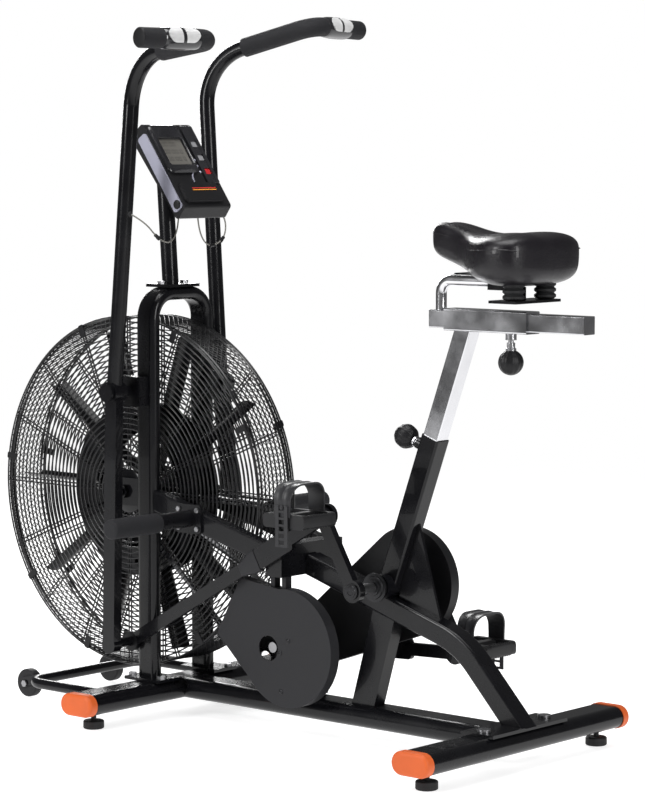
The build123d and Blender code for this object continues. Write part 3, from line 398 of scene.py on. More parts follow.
# each wire's route beyond the arm, in mm: along the bike from the fan's axle, across, up
WIRE_ROUTE = {"left": ((140, -110, 930), (128, -66, 918), (116, -34, 934), (112, -22, 966)),
              "right": ((110, 112, 925), (112, 70, 908), (120, 36, 922), (120, 22, 958))}
WIRE_END_Y = 20                                     # it enters the console this far from the middle, mm
CONNECTORS = {"left": (0.30,), "right": (0.34, 0.52)}
for side, sign in SIDES:
    gx, gz = tilt(*GROMMET_AT, side, UPPER_TILT[side])
    route_points = [Vector((gx + 0.001, sign * ARM_Y, gz)),
                    Vector((gx + 0.030, sign * (ARM_Y - 0.008), gz - 0.014))]
    route_points += [Vector(((fan_x + x) / 1000, y / 1000, z / 1000)) for x, y, z in WIRE_ROUTE[side]]
    route_points.append(Vector(((fan_x + WIRE_ROUTE[side][-1][0]) / 1000, sign * WIRE_END_Y / 1000,
                                node_box("pulse_wire_" + side)[1].z)))
    line = bpy.data.curves.new("pulse_lead_" + side, "CURVE")
    line.dimensions = "3D"
    spline = line.splines.new("NURBS")
    spline.points.add(len(route_points) - 1)
    for point, place in zip(spline.points, route_points):
        point.co = (*place, 1.0)
    spline.order_u = 3
    spline.use_endpoint_u = True
    spline.resolution_u = 12
    route = bpy.data.objects.new("pulse_route_" + side, line)
    bpy.context.collection.objects.link(route)
    bpy.context.view_layer.update()
    bare = bpy.data.meshes.new_from_object(route)
    centres = [vertex.co.copy() for vertex in bare.vertices]
    line.bevel_depth = WIRE_D / 2
    line.bevel_resolution = 3
    line.use_fill_caps = True
    bpy.context.view_layer.update()
    tube = bpy.data.meshes.new_from_object(route.evaluated_get(bpy.context.evaluated_depsgraph_get()))
    bpy.data.objects.remove(route)
    lead = keep("pulse_lead_" + side, tube, "wire_jacket", None, ["pulse_wire_" + side])
    lead.data.shade_smooth()
    connectors = []
    for index, share in enumerate(CONNECTORS[side]):
        at = int(share * (len(centres) - 1))
        plug = bmesh.new()
        lathe(plug, centres[at], centres[at + 1] - centres[at - 1],
              [(-0.0075, 0.0022), (-0.0070, 0.0034), (0.0015, 0.0034), (0.0018, 0.0041), (0.0070, 0.0041),
               (0.0076, 0.0024)], 16)
        connectors.append(smooth(keep("pulse_plug_%s_%d" % (side, index), plug, "black_plastic", None)))
    for piece in (lead, *connectors):
        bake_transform(piece)

# ------------------------------------------------------------------ rule-driven shapes
def new_group(name, lengths, counts):
    """An empty node group that is given a Centre, a Material and the named lengths and counts."""
    group = bpy.data.node_groups.new(name, "GeometryNodeTree")
    group.interface.new_socket(name="Geometry", in_out="OUTPUT", socket_type="NodeSocketGeometry")
    kinds = {"Centre": "Vector", "Material": "Material", **dict.fromkeys(lengths, "Float"),
             **dict.fromkeys(counts, "Int")}
    for label, kind in kinds.items():
        group.interface.new_socket(name=label, in_out="INPUT", socket_type="NodeSocket" + kind)
    given = group.nodes.new("NodeGroupInput").outputs
    return group, given, group.nodes.new("NodeGroupOutput")


def add_node(group, kind, settings=None, **inputs):
    node = group.nodes.new(kind)
    for key, setting in (settings or {}).items():
        setattr(node, key, setting)
    for key, source in inputs.items():
        socket = node.inputs[key.replace("_", " ")]
        if isinstance(source, bpy.types.NodeSocket):
            group.links.new(source, socket)
        else:
            socket.default_value = source
    return node


def bake(group, name, **values):
    """Runs a node group once and returns its result as a plain mesh."""
    holder = bpy.data.objects.new(name, bpy.data.meshes.new(name))
    bpy.context.collection.objects.link(holder)
    modifier = holder.modifiers.new("shape", "NODES")
    modifier.node_group = group
    for item in group.interface.items_tree:
        if item.item_type == "SOCKET" and item.in_out == "INPUT" and item.name in values:
            modifier[item.identifier] = values[item.name]
    bpy.context.view_layer.update()
    evaluated = holder.evaluated_get(bpy.context.evaluated_depsgraph_get())
    mesh = bpy.data.meshes.new_from_object(evaluated)
    holder.modifiers.remove(modifier)
    bpy.data.objects.remove(holder)
    return mesh


def finish_group(group, exit_node, geometry, given):
    """Realises the instances, turns the axis to run across the bike and sets the material."""
    real = add_node(group, "GeometryNodeRealizeInstances", Geometry=geometry)
    turned = add_node(group, "GeometryNodeTransform", Geometry=real.outputs[0],
                      Translation=given["Centre"], Rotation=(math.pi / 2, 0, 0))
    painted = add_node(group, "GeometryNodeSetMaterial", Geometry=turned.outputs[0],
                       Material=given["Material"])
    group.links.new(painted.outputs[0], exit_node.inputs[0])


def math_node(group, operation, a, b):
    node = add_node(group, "ShaderNodeMath", {"operation": operation})
    for socket, source in zip(node.inputs, (a, b)):
        if isinstance(source, bpy.types.NodeSocket):
            group.links.new(source, socket)
        else:
            socket.default_value = source
    return node.outputs[0]


def thicken(group, given, curves, sides, **more):
    """Gives curves the wire's round section."""
    real = add_node(group, "GeometryNodeRealizeInstances", Geometry=curves)
    section = add_node(group, "GeometryNodeCurvePrimitiveCircle", Resolution=sides)
    group.links.new(given["Wire"], section.inputs["Radius"])
    return add_node(group, "GeometryNodeCurveToMesh", Curve=real.outputs[0], Profile_Curve=section.outputs[0],
                    **more)


def round_the_hub(group, given, shape):
    """Count copies of one shape, evenly turned about the hub."""
    hub = add_node(group, "GeometryNodeMeshLine", Count=given["Count"], Offset=(0, 0, 0))
    index = add_node(group, "GeometryNodeInputIndex")
    part = math_node(group, "DIVIDE", index.outputs[0], given["Count"])
    spin = add_node(group, "ShaderNodeCombineXYZ", Z=math_node(group, "MULTIPLY", part, 2 * math.pi))
    return add_node(group, "GeometryNodeInstanceOnPoints", Points=hub.outputs[0], Instance=shape,
                    Rotation=spin.outputs[0])


def ring_group():
    """Concentric wire rings, each one pitch smaller than the last."""
    group, given, exit_node = new_group("wire_rings", ("Outer", "Pitch", "Wire"), ("Count", "Segments"))
    row = add_node(group, "GeometryNodeMeshLine", Count=given["Count"], Offset=(0, 0, 0))
    loop = add_node(group, "GeometryNodeCurvePrimitiveCircle", Resolution=given["Segments"], Radius=1.0)
    index = add_node(group, "GeometryNodeInputIndex")
    step = math_node(group, "MULTIPLY", index.outputs[0], given["Pitch"])
    size = math_node(group, "SUBTRACT", given["Outer"], step)
    placed = add_node(group, "GeometryNodeInstanceOnPoints", Points=row.outputs[0],
                      Instance=loop.outputs[0], Scale=size)
    wired = thicken(group, given, placed.outputs[0], 8)
    finish_group(group, exit_node, wired.outputs[0], given)
    return group


def spoke_group():
    """Pairs of straight wires running from the hub disc out to the rim."""
    group, given, exit_node = new_group("wire_spokes", ("Inner", "Outer", "Gap", "Wire"), ("Count",))
    both = add_node(group, "GeometryNodeJoinGeometry")
    for sign in (-1, 1):
        shift = math_node(group, "MULTIPLY", given["Gap"], sign * 0.5)
        start = add_node(group, "ShaderNodeCombineXYZ", X=given["Inner"], Y=shift)
        end = add_node(group, "ShaderNodeCombineXYZ", X=given["Outer"], Y=shift)
        rod = add_node(group, "GeometryNodeCurvePrimitiveLine", Start=start.outputs[0], End=end.outputs[0])
        group.links.new(rod.outputs[0], both.inputs[0])
    placed = round_the_hub(group, given, both.outputs[0])
    wired = thicken(group, given, placed.outputs[0], 6, Fill_Caps=True)
    finish_group(group, exit_node, wired.outputs[0], given)
    return group


def lattice_group():
    """Diamond mesh bent into a drum: rows of zigzag strands, every other one mirrored."""
    group, given, exit_node = new_group("diamond_drum", ("Radius", "Row height", "Wire"), ("Cells", "Rows"))
    corners = math_node(group, "MULTIPLY", given["Cells"], 2.0)
    loop = add_node(group, "GeometryNodeCurvePrimitiveCircle", Resolution=corners, Radius=given["Radius"])
    index = add_node(group, "GeometryNodeInputIndex")
    odd = math_node(group, "MODULO", index.outputs[0], 2.0)
    centred = math_node(group, "SUBTRACT", odd, 0.5)
    both = add_node(group, "GeometryNodeJoinGeometry")
    for sign in (-1, 1):
        lift = math_node(group, "MULTIPLY", centred, math_node(group, "MULTIPLY", given["Row height"], sign))
        offset = add_node(group, "ShaderNodeCombineXYZ", Z=lift)
        strand = add_node(group, "GeometryNodeSetPosition", Geometry=loop.outputs[0], Offset=offset.outputs[0])
        group.links.new(strand.outputs[0], both.inputs[0])
    step = add_node(group, "ShaderNodeCombineXYZ", Z=given["Row height"])
    span = math_node(group, "MULTIPLY", math_node(group, "SUBTRACT", given["Rows"], 1.0),
                     math_node(group, "MULTIPLY", given["Row height"], -0.5))
    start = add_node(group, "ShaderNodeCombineXYZ", Z=span)
    rows = add_node(group, "GeometryNodeMeshLine", Count=given["Rows"], Start_Location=start.outputs[0],
                    Offset=step.outputs[0])
    placed = add_node(group, "GeometryNodeInstanceOnPoints", Points=rows.outputs[0], Instance=both.outputs[0])
    wired = thicken(group, given, placed.outputs[0], 4)
    finish_group(group, exit_node, wired.outputs[0], given)
    return group


def blade_group():
    """Paddle blades round the hub, each a thin sheet cupped toward the direction of turn."""
    group, given, exit_node = new_group("paddle_blades", ("Inner", "Outer", "Width", "Cup", "Thick"), ("Count",))
    long_side = math_node(group, "SUBTRACT", given["Outer"], given["Inner"])
    sheet = add_node(group, "GeometryNodeMeshGrid", Size_X=long_side, Size_Y=given["Width"],
                     Vertices_X=10, Vertices_Y=9)
    place = add_node(group, "GeometryNodeInputPosition")
    split = add_node(group, "ShaderNodeSeparateXYZ", Vector=place.outputs[0])
    ratio = math_node(group, "DIVIDE", split.outputs["Y"], given["Width"])
    bowl = math_node(group, "MULTIPLY", math_node(group, "MULTIPLY", ratio, ratio),
                     math_node(group, "MULTIPLY", given["Cup"], 4.0))
    lift = add_node(group, "ShaderNodeCombineXYZ", Z=bowl)
    cupped = add_node(group, "GeometryNodeSetPosition", Geometry=sheet.outputs[0], Offset=lift.outputs[0])
    solid = add_node(group, "GeometryNodeExtrudeMesh", Mesh=cupped.outputs[0],
                     Offset_Scale=given["Thick"], Individual=False)
    flipped = add_node(group, "GeometryNodeFlipFaces", Mesh=cupped.outputs[0])
    closed = add_node(group, "GeometryNodeJoinGeometry")
    group.links.new(solid.outputs[0], closed.inputs[0])
    group.links.new(flipped.outputs[0], closed.inputs[0])
    welded = add_node(group, "GeometryNodeMergeByDistance", Geometry=closed.outputs[0], Distance=0.0001)
    middle = math_node(group, "MULTIPLY", math_node(group, "ADD", given["Outer"], given["Inner"]),
                       0.5)
    out = add_node(group, "ShaderNodeCombineXYZ", X=middle)
    moved = add_node(group, "GeometryNodeTransform", Geometry=welded.outputs[0], Translation=out.outputs[0],
                     Rotation=(math.pi / 2, 0, 0))
    placed = round_the_hub(group, given, moved.outputs[0])
    finish_group(group, exit_node, placed.outputs[0], given)
    return group


# ------------------------------------------------------------------ fan cage
WIRE_R = 0.0016
rings = ring_group()
spokes = spoke_group()
for side, sign in SIDES:
    ring_mesh = bake(rings, "cage_rings", Centre=Vector((FAN.x, sign * (CAGE_HALF - WIRE_R), FAN.z)),
                     Outer=CAGE_R - WIRE_R, Pitch=0.0105, Count=29, Wire=WIRE_R,
                     Segments=128, Material=finish["wire_paint"])
    ring_piece = keep("cage_rings_" + side, ring_mesh, "wire_paint", "frame", ["grille_" + side])
    ring_piece.data.shade_smooth()
    spoke_mesh = bake(spokes, "cage_spokes", Centre=Vector((FAN.x, sign * (CAGE_HALF - 3.4 * WIRE_R), FAN.z)),
                      Inner=0.036, Outer=CAGE_R - 0.001, Count=16, Gap=0.007, Wire=WIRE_R,
                      Material=finish["wire_paint"])
    spoke_piece = keep("cage_spokes_" + side, spoke_mesh, "wire_paint", "frame")
    spoke_piece.data.shade_smooth()
    disc = bmesh.new()
    lathe(disc, (FAN.x, sign * (CAGE_HALF - 0.006), FAN.z), (0, sign, 0),
          [(0.0, 0.043), (0.004, 0.043), (0.0055, 0.040), (0.0058, 0.026)], 48)
    smooth(keep("cage_hub_disc_" + side, disc, "black_paint", "frame"))

lattice = lattice_group()
drum = bake(lattice, "cage_mesh", Centre=Vector((FAN.x, 0, FAN.z)), Radius=CAGE_R - 0.0025,
            Cells=84, Rows=8, **{"Row height": 0.0124}, Wire=0.0011, Material=finish["wire_paint"])
keep("cage_mesh_band", drum, "wire_paint", "frame", ["cage_rim"])
edge_rings = bmesh.new()
for sign in (-1, 1):
    for inset in (0.0, 0.009):
        hoop = [Vector((FAN.x + (CAGE_R - 0.0025) * math.cos(2 * math.pi * k / 128),
                        sign * (CAGE_HALF - 0.0065 - inset),
                        FAN.z + (CAGE_R - 0.0025) * math.sin(2 * math.pi * k / 128))) for k in range(128)]
        sweep(edge_rings, hoop, circle(0.002, 8), up=Vector((0, 1, 0)), closed=True)
smooth(keep("cage_edge_hoops", edge_rings, "wire_paint", "frame"))

clips = bmesh.new()
for degrees in (25, 68, 112, 172, 215, 250, 305, 338):
    turn = math.radians(degrees)
    radial = Vector((math.cos(turn), 0, math.sin(turn)))
    for sign in (-1, 1):
        centre = FAN + radial * (CAGE_R - 0.012) + Vector((0, sign * (CAGE_HALF - 0.001), 0))
        plate(clips, centre, (0, sign, 0), radial, rounded_rect(0.026, 0.013, 0.003), 0.0025, 0.0006)
smooth(keep("cage_clips", clips, "black_plastic", "frame"))

# ------------------------------------------------------------------ rotor
blades_low, blades_high = node_box("fan_blades")
BLADE_R = (blades_high.x - blades_low.x) / 2
blade_mesh = bake(blade_group(), "blades", Centre=Vector((FAN.x, 0.003, FAN.z)), Inner=0.120, Outer=BLADE_R,
                  Width=0.050, Cup=0.010, Count=10, Thick=0.0015, Material=finish["black_paint"])
blade_piece = keep("rotor_blades", blade_mesh, "black_paint", "fan", ["fan_blades"])
smooth(blade_piece, 50)
rotor = bmesh.new()
RING_FACES = (-0.030, 0.024)
RING_OUTER, RING_INNER = 0.168, 0.116
for y_face in RING_FACES:
    outer = circle(RING_OUTER, 72)
    inner = circle(RING_INNER, 72)
    plate_verts = []
    for level in (0.0, 0.002):
        plate_verts.append([rotor.verts.new((FAN.x + a, y_face + level, FAN.z + b)) for a, b in outer])
        plate_verts.append([rotor.verts.new((FAN.x + a, y_face + level, FAN.z + b)) for a, b in inner])
    for k in range(72):
        m = (k + 1) % 72
        for one, two in ((0, 1), (1, 3), (3, 2), (2, 0)):
            rotor.faces.new((plate_verts[one][k], plate_verts[one][m], plate_verts[two][m], plate_verts[two][k]))
for arm_index in range(5):
    turn = 2 * math.pi * arm_index / 5
    radial = Vector((math.cos(turn), 0, math.sin(turn)))
    for y_face in RING_FACES:
        plate(rotor, FAN + radial * 0.078 + Vector((0, y_face - 0.0005, 0)), (0, 1, 0), radial,
              rounded_rect(0.090, 0.022, 0.004), 0.003, 0.0006)
for spacer_index in range(10):
    turn = 2 * math.pi * (spacer_index + 0.5) / 10
    spot = FAN + Vector((math.cos(turn), 0, math.sin(turn))) * 0.142
    lathe(rotor, spot + Vector((0, RING_FACES[0], 0)), (0, 1, 0),
          [(0, 0.005), (RING_FACES[1] - RING_FACES[0] + 0.002, 0.005)], 10)
smooth(keep("rotor_plate", rotor, "black_paint", "fan"))

# ------------------------------------------------------------------ saddle
sad_low, sad_high = node_box("saddle")
NOSE_GAP = 0.010
CUSHION_LEN = (sad_high.x - sad_low.x) * 0.955
stations = ((0.00, 0.004, 0.946, 0.938), (0.012, 0.020, 0.960, 0.922), (0.05, 0.031, 0.9705, 0.910),
            (0.13, 0.037, 0.9725, 0.902), (0.24, 0.041, 0.967, 0.893), (0.34, 0.050, 0.958, 0.883),
            (0.44, 0.070, 0.952, 0.872), (0.54, 0.092, 0.952, 0.864), (0.65, 0.108, 0.955, 0.860),
            (0.76, 0.113, 0.957, 0.860), (0.86, 0.108, 0.956, 0.863), (0.92, 0.094, 0.951, 0.869),
            (0.95, 0.070, 0.943, 0.880), (0.96, 0.034, 0.930, 0.893))


def saddle_ring(half, top, bottom, count=32):
    """Cross-section: crowned top with a shallow channel, full rounded sides, tucked under edge."""
    ring = []
    middle = (top * 0.62 + bottom * 0.38)
    for k in range(count):
        turn = 2 * math.pi * k / count
        c, s = math.cos(turn), math.sin(turn)
        y = half * math.copysign(abs(c) ** 0.62, c)
        if s >= 0:
            z = middle + (top - middle) * abs(s) ** 0.72
            if half > 0.03:
                z -= 0.0035 * math.exp(-(y / 0.012) ** 2) * s
        else:
            z = middle - (middle - bottom) * abs(s) ** 0.55
        ring.append((y, z))
    return ring


saddle_bm = bmesh.new()
saddle_rings = []
for share, half, top, bottom in stations:
    x = sad_low.x + NOSE_GAP + share * CUSHION_LEN
    saddle_rings.append([saddle_bm.verts.new((x, y, z)) for y, z in saddle_ring(half, top, bottom)])
skin(saddle_bm, saddle_rings)
bmesh.ops.recalc_face_normals(saddle_bm, faces=saddle_bm.faces)
cushion_mesh = bpy.data.meshes.new("saddle_cushion")
saddle_bm.to_mesh(cushion_mesh)
saddle_bm.free()
holder = bpy.data.objects.new("saddle_builder", cushion_mesh)
bpy.context.collection.objects.link(holder)
subdivide = holder.modifiers.new("round", "SUBSURF")
subdivide.levels = 2
subdivide.render_levels = 2
bpy.context.view_layer.update()
soft_mesh = bpy.data.meshes.new_from_object(holder.evaluated_get(bpy.context.evaluated_depsgraph_get()))
holder.modifiers.remove(subdivide)
bpy.data.objects.remove(holder)
cushion = keep("saddle_cushion", soft_mesh, "saddle_leather", "seat_slider", ["saddle"])
cushion.data.shade_smooth()

# piping seam along both sides of the saddle
seam = bmesh.new()
for side, sign in SIDES:
    ridge = []
    for share, half, top, bottom in stations[2:-2]:
        x = sad_low.x + NOSE_GAP + share * CUSHION_LEN
        ring = saddle_ring(half, top, bottom, 32)
        y, z = ring[15 if sign < 0 else 1]
        ridge.append(Vector((x, y * 0.99, z - 0.004)))
    sweep(seam, rounded_path(ridge, 0.02, 3), circle(0.0011, 6))
smooth(keep("saddle_piping", seam, "saddle_leather", "seat_slider"))

# ribbed rubber springs
bellows = bmesh.new()
for side, sign in SIDES:
    low, high = node_box("saddle_springs")
    profile = [(0.0, 0.012)]
    for fold in range(4):
        base = 0.001 + fold * 0.0104
        profile += [(base, 0.016), (base + 0.003, 0.0196), (base + 0.007, 0.0196), (base + 0.0095, 0.0165)]
    profile.append((high.z - low.z, 0.012))
    lathe(bellows, ((low.x + high.x) / 2, sign * (high.y - 0.020), low.z), (0, 0, 1), profile, 32)
smooth(keep("saddle_bumpers", bellows, "black_rubber", "seat_slider", ["saddle_springs"]))

# ------------------------------------------------------------------ pull knobs
for knob in ("post_knob", "slide_knob"):
    low, high = node_box(knob)
    out = Vector(joints[knob + "_pull"]["axis"]).normalized()
    ball_r = 0.023
    if knob == "post_knob":
        tip = Vector((low.x + ball_r, 0, high.z - ball_r))
    else:
        tip = Vector(((low.x + high.x) / 2, 0, low.z + ball_r))
    u, v, n = axes_from(out, (0, 1, 0))
    ball = bmesh.new()
    profile = []
    for step in range(15):
        turn = math.pi * (step + 0.5) / 15
        profile.append((-ball_r * math.cos(turn), ball_r * math.sin(turn)))
    rings_made = []
    for height, radius in profile:
        ring = []
        for k in range(72):
            turn = 2 * math.pi * k / 72
            groove = 1.0 - 0.05 * (0.5 + 0.5 * math.cos(turn * 12)) * min(1.0, radius / 0.018)
            ring.append(ball.verts.new(tip + n * height + (u * math.cos(turn) + v * math.sin(turn))
                                       * radius * groove))
        rings_made.append(ring)
    skin(ball, rings_made)
    smooth(keep(knob + "_ball", ball, "black_plastic", knob, [knob]), 60)
    stem = bmesh.new()
    length = 0.030 if knob == "post_knob" else 0.034
    lathe(stem, tip - out * (ball_r - 0.002), -out,
          [(0.0, 0.0095), (0.004, 0.0095), (0.005, 0.0075), (0.014, 0.0075), (0.0145, 0.0049), (length, 0.0049)],
          28)
    smooth(keep(knob + "_stem", stem, "chrome_plate", knob))

# ------------------------------------------------------------------ handlebar grips
UPPER = ((0, 14), (0, 642), (245, 690), (222, 688))
SPREAD = (0, 0, 50, 215)
for side, sign in SIDES:
    body = "arm_" + side
    points = []
    for (x, z), out in zip(UPPER, SPREAD):
        px, pz = tilt(x, z, side, UPPER_TILT[side])
        points.append(Vector((px, sign * (ARM_Y + out / 1000), pz)))
    along_grip = (points[2] - points[1]).normalized()
    start = points[1] + along_grip * 0.096
    tail = (points[3] - points[2]).normalized()
    end = points[3] - tail * 0.0005
    path = rounded_path([start, points[2], end], 0.036, 10)
    foam = bmesh.new()
    dense = []
    for a, b in zip(path, path[1:]):
        steps = max(1, int((b - a).length / 0.012))
        dense += [a.lerp(b, k / steps) for k in range(steps)]
    dense.append(path[-1])
    sweep(foam, dense, circle(0.0188, 28))
    smooth(keep("grip_foam_" + side, foam, "foam_rubber", body, ["grip_" + side]), 50)
    cap = bmesh.new()
    lathe(cap, end - tail * 0.004, tail, [(0.0, 0.0186), (0.0042, 0.0186), (0.0060, 0.0172), (0.0068, 0.013)], 32)
    smooth(keep("grip_end_" + side, cap, "black_plastic", body))
    # pulse sensor pad: a fatter moulded band with two bright plates
    run = (points[3] - points[2]).length
    pad_centre = points[2] + tail * run * 0.47
    pad = bmesh.new()
    rise = []
    for step in range(25):
        t = step / 24
        swell = math.sin(math.pi * t) ** 0.45
        rise.append((-0.041 + 0.082 * t, 0.0186 + 0.0028 * swell))
    lathe(pad, pad_centre, tail, rise, 40)
    smooth(keep("pulse_pad_" + side, pad, "gloss_plastic", body), 60)
    facing = Vector((0.86, -0.3, 0.34))
    facing = (facing - tail * facing.dot(tail)).normalized()
    across = tail.cross(facing).normalized()
    plates = bmesh.new()
    for offset in (-0.0195, 0.0195):
        grid = []
        for i in range(13):
            s = -0.0155 + 0.031 * i / 12
            outer_end = s * math.copysign(1, offset)
            narrow = 1.0 - 0.75 * max(0.0, outer_end / 0.0155) ** 2
            row = []
            for j in range(13):
                angle = (-1 + 2 * j / 12) * math.radians(42) * narrow
                direction = facing * math.cos(angle) + across * math.sin(angle)
                row.append((pad_centre + tail * (offset + s), direction))
            grid.append(row)
        top = [[plates.verts.new(p + d * 0.0223) for p, d in row] for row in grid]
        low = [[plates.verts.new(p + d * 0.0195) for p, d in row] for row in grid]
        slab(plates, top, low)
    smooth(keep("pulse_plates_" + side, plates, "sensor_steel", body))
    # wire grommet on the upright tube
    gx, gz = tilt(*GROMMET_AT, side, UPPER_TILT[side])
    grommet = bmesh.new()
    lathe(grommet, (gx - 0.002, sign * ARM_Y, gz), (1, 0, 0), [(0, 0.006), (0.0025, 0.006), (0.0045, 0.0035)], 20)
    smooth(keep("wire_grommet_" + side, grommet, "black_rubber", body))

# ------------------------------------------------------------------ pedals and toe straps
for side, sign in SIDES:
    body = "pedal_" + side
    centre = joint_at("pedal_" + side + "_spin")
    low, high = node_box("pedal_" + side)
    mid_y = sign * PEDAL_Y
    platform = bmesh.new()
    outline = rounded_rect(0.098, 0.026, 0.007, 5)
    for y_from, y_to in ((-0.045, -0.031), (0.031, 0.045)):
        plate(platform, (centre.x, mid_y + y_from, centre.z), (0, 1, 0), (1, 0, 0), outline, y_to - y_from, 0.001)
    for bar_x, half in ((-0.045, 0.004), (0.045, 0.004), (0.0, 0.011), (-0.022, 0.0022), (0.022, 0.0022)):
        bar = rounded_rect(half * 2, 0.024 if abs(bar_x) > 0.03 or bar_x == 0 else 0.018, min(half * 0.9, 0.004))
        plate(platform, (centre.x + bar_x, mid_y - 0.032, centre.z), (0, 1, 0), (1, 0, 0), bar, 0.064)
    # gripping teeth along both edges
    for tooth in range(9):
        for edge in (-0.045, 0.045):
            for lift in (-1, 1):
                spot = Vector((centre.x + edge, mid_y - 0.028 + tooth * 0.007, centre.z + lift * 0.0115))
                plate(platform, spot, (0, 0, lift), (1, 0, 0), rounded_rect(0.005, 0.0035, 0.001, 2), 0.0016, 0.0006)
    smooth(keep("pedal_body_" + side, platform, "pedal_plastic", body, ["pedal_" + side]))
    axle = bmesh.new()
    inner = sign * 0.1005
    lathe(axle, (centre.x, inner, centre.z), (0, sign, 0),
          [(0, 0.0068), (0.017, 0.0068), (0.0171, 0.011), (0.024, 0.011), (0.0245, 0.008), (0.115, 0.008)], 28)
    smooth(keep("pedal_spindle_" + side, axle, "zinc_steel", body))
    # strap: ribbon over the foot, wider over the instep, with raised ribs and a free tail
    strap = bmesh.new()
    base_z = centre.z + 0.008
    top_z = centre.z + 0.066
    loop = rounded_path([Vector((centre.x, mid_y - 0.0465, base_z)), Vector((centre.x, mid_y - 0.0465, top_z)),
                         Vector((centre.x, mid_y + 0.0465, top_z)), Vector((centre.x, mid_y + 0.0465, base_z))],
                        0.030, 10)
    ribbon = []
    for a, b in zip(loop, loop[1:]):
        steps = max(1, int((b - a).length / 0.006))
        for k in range(steps):
            ribbon.append(a.lerp(b, k / steps))
    ribbon.append(loop[-1])
    rows = []
    for index, here in enumerate(ribbon):
        t = index / (len(ribbon) - 1)
        width = 0.018 + 0.006 * math.sin(math.pi * t) ** 2
        ahead = (ribbon[min(index + 1, len(ribbon) - 1)] - ribbon[max(index - 1, 0)]).normalized()
        out = ahead.cross(Vector((1, 0, 0))).normalized()
        if out.dot(here - Vector((centre.x, mid_y, centre.z + 0.02))) < 0:
            out = -out
        row = []
        for u in (-1, -0.86, -0.8, -0.12, -0.06, 0.06, 0.12, 0.8, 0.86, 1):
            rib = 0.0009 if abs(u) > 0.83 or abs(u) < 0.09 else 0.0
            row.append((here + Vector((u * width, 0, 0)), out, rib))
        rows.append(row)
    top = [[strap.verts.new(p + o * (0.0013 + r)) for p, o, r in row] for row in rows]
    under = [[strap.verts.new(p - o * 0.0013) for p, o, r in row] for row in rows]
    slab(strap, top, under)
    strap_piece = keep("toe_strap_" + side, strap, "strap_rubber", body, ["pedal_strap_" + side])
    smooth(strap_piece, 45)
    # free tail below the outer side of the pedal, punched with adjusting holes
    tail_bm = bmesh.new()
    outer_y = mid_y + sign * 0.0482
    for k in range(6):
        z0 = centre.z - 0.040 + k * 0.0125
        for edge in (-1, 1):
            plate(tail_bm, (centre.x + edge * 0.0105, outer_y, z0), (0, sign, 0), (1, 0, 0),
                  rounded_rect(0.008, 0.0126, 0.0005, 1), 0.0024)
        plate(tail_bm, (centre.x, outer_y, z0 - 0.0042), (0, sign, 0), (1, 0, 0),
              rounded_rect(0.0135, 0.0042, 0.0008, 2), 0.0024)
    lathe(tail_bm, (centre.x, outer_y - sign * 0.002, centre.z + 0.026), (0, sign, 0),
          [(0, 0.004), (0.005, 0.004), (0.0065, 0.0025)], 16)
    smooth(keep("strap_tail_" + side, tail_bm, "strap_rubber", body))

# ------------------------------------------------------------------ console
CONSOLE_HALF = node_box("console_housing")[1].y
screen_low, screen_high = node_box("console_screen")
face_n = -Vector(joints["key_mode_press"]["axis"]).normalized()
across_c = Vector((0, 1, 0))
up_c = face_n.cross(across_c).normalized()
SCREEN_U, SCREEN_V = -0.018, 0.028
SCREEN_W, SCREEN_H = 0.066, 0.062
screen_mid = (screen_low + screen_high) / 2
face_zero = screen_mid + face_n * 0.0015 - across_c * SCREEN_U - up_c * SCREEN_V


def on_face(u, v, lift=0.0):
    """A point on the console's face: u to the rider's right, v up the slope."""
    return face_zero + across_c * u + up_c * v + face_n * lift


def lobe(bm, middle, size, corner, hole_at, hole, height, chamfer):
    """Raised moulding with a window cut through it."""
    outer = rounded_rect(size[0], size[1], corner, 6)
    shrunk = rounded_rect(size[0] - 2 * chamfer, size[1] - 2 * chamfer, corner - chamfer / 2, 6)
    wide = rounded_rect(hole[0] + chamfer, hole[1] + chamfer, 0.005, 6)
    window = rounded_rect(hole[0], hole[1], 0.004, 6)
    levels = ((outer, middle, -0.001), (outer, middle, height - chamfer), (shrunk, middle, height),
              (wide, hole_at, height), (window, hole_at, height - chamfer), (window, hole_at, -0.001))
    loops = [[bm.verts.new(on_face(at[0] + u, at[1] + v, lift)) for u, v in outline]
             for outline, at, lift in levels]
    skin(bm, loops + loops[:1], caps=False)


screen_lobe = bmesh.new()
lobe(screen_lobe, (-0.0215, 0.034), (0.083, 0.112), 0.013, (SCREEN_U, SCREEN_V), (SCREEN_W + 0.001, SCREEN_H + 0.001),
     0.0065, 0.002)
smooth(keep("screen_lobe", screen_lobe, "gloss_plastic", "frame"), 40)

key_strip = bmesh.new()
key_spots = [(node_box(name)[0] + node_box(name)[1]) / 2 for name in ("key_mode", "key_set", "key_reset")]
key_u = key_spots[0].y
key_rows = [(spot - face_zero).dot(up_c) for spot in key_spots]
edges = [0.088] + [row + shift for row in key_rows for shift in (0.0072, -0.0072)] + [-0.046]
for top_v, bottom_v in zip(edges[::2], edges[1::2]):
    plate(key_strip, on_face(key_u, (top_v + bottom_v) / 2, -0.0005), face_n, across_c,
          rounded_rect(0.0172, top_v - bottom_v, 0.0006, 2), 0.0042, 0.0004)
for shift in (-0.0125, 0.0125):
    plate(key_strip, on_face(key_u + shift, 0.021, -0.0005), face_n, across_c,
          rounded_rect(0.0078, 0.136, 0.0028, 4), 0.0046, 0.0012)
smooth(keep("key_strip", key_strip, "gloss_plastic", "frame"))

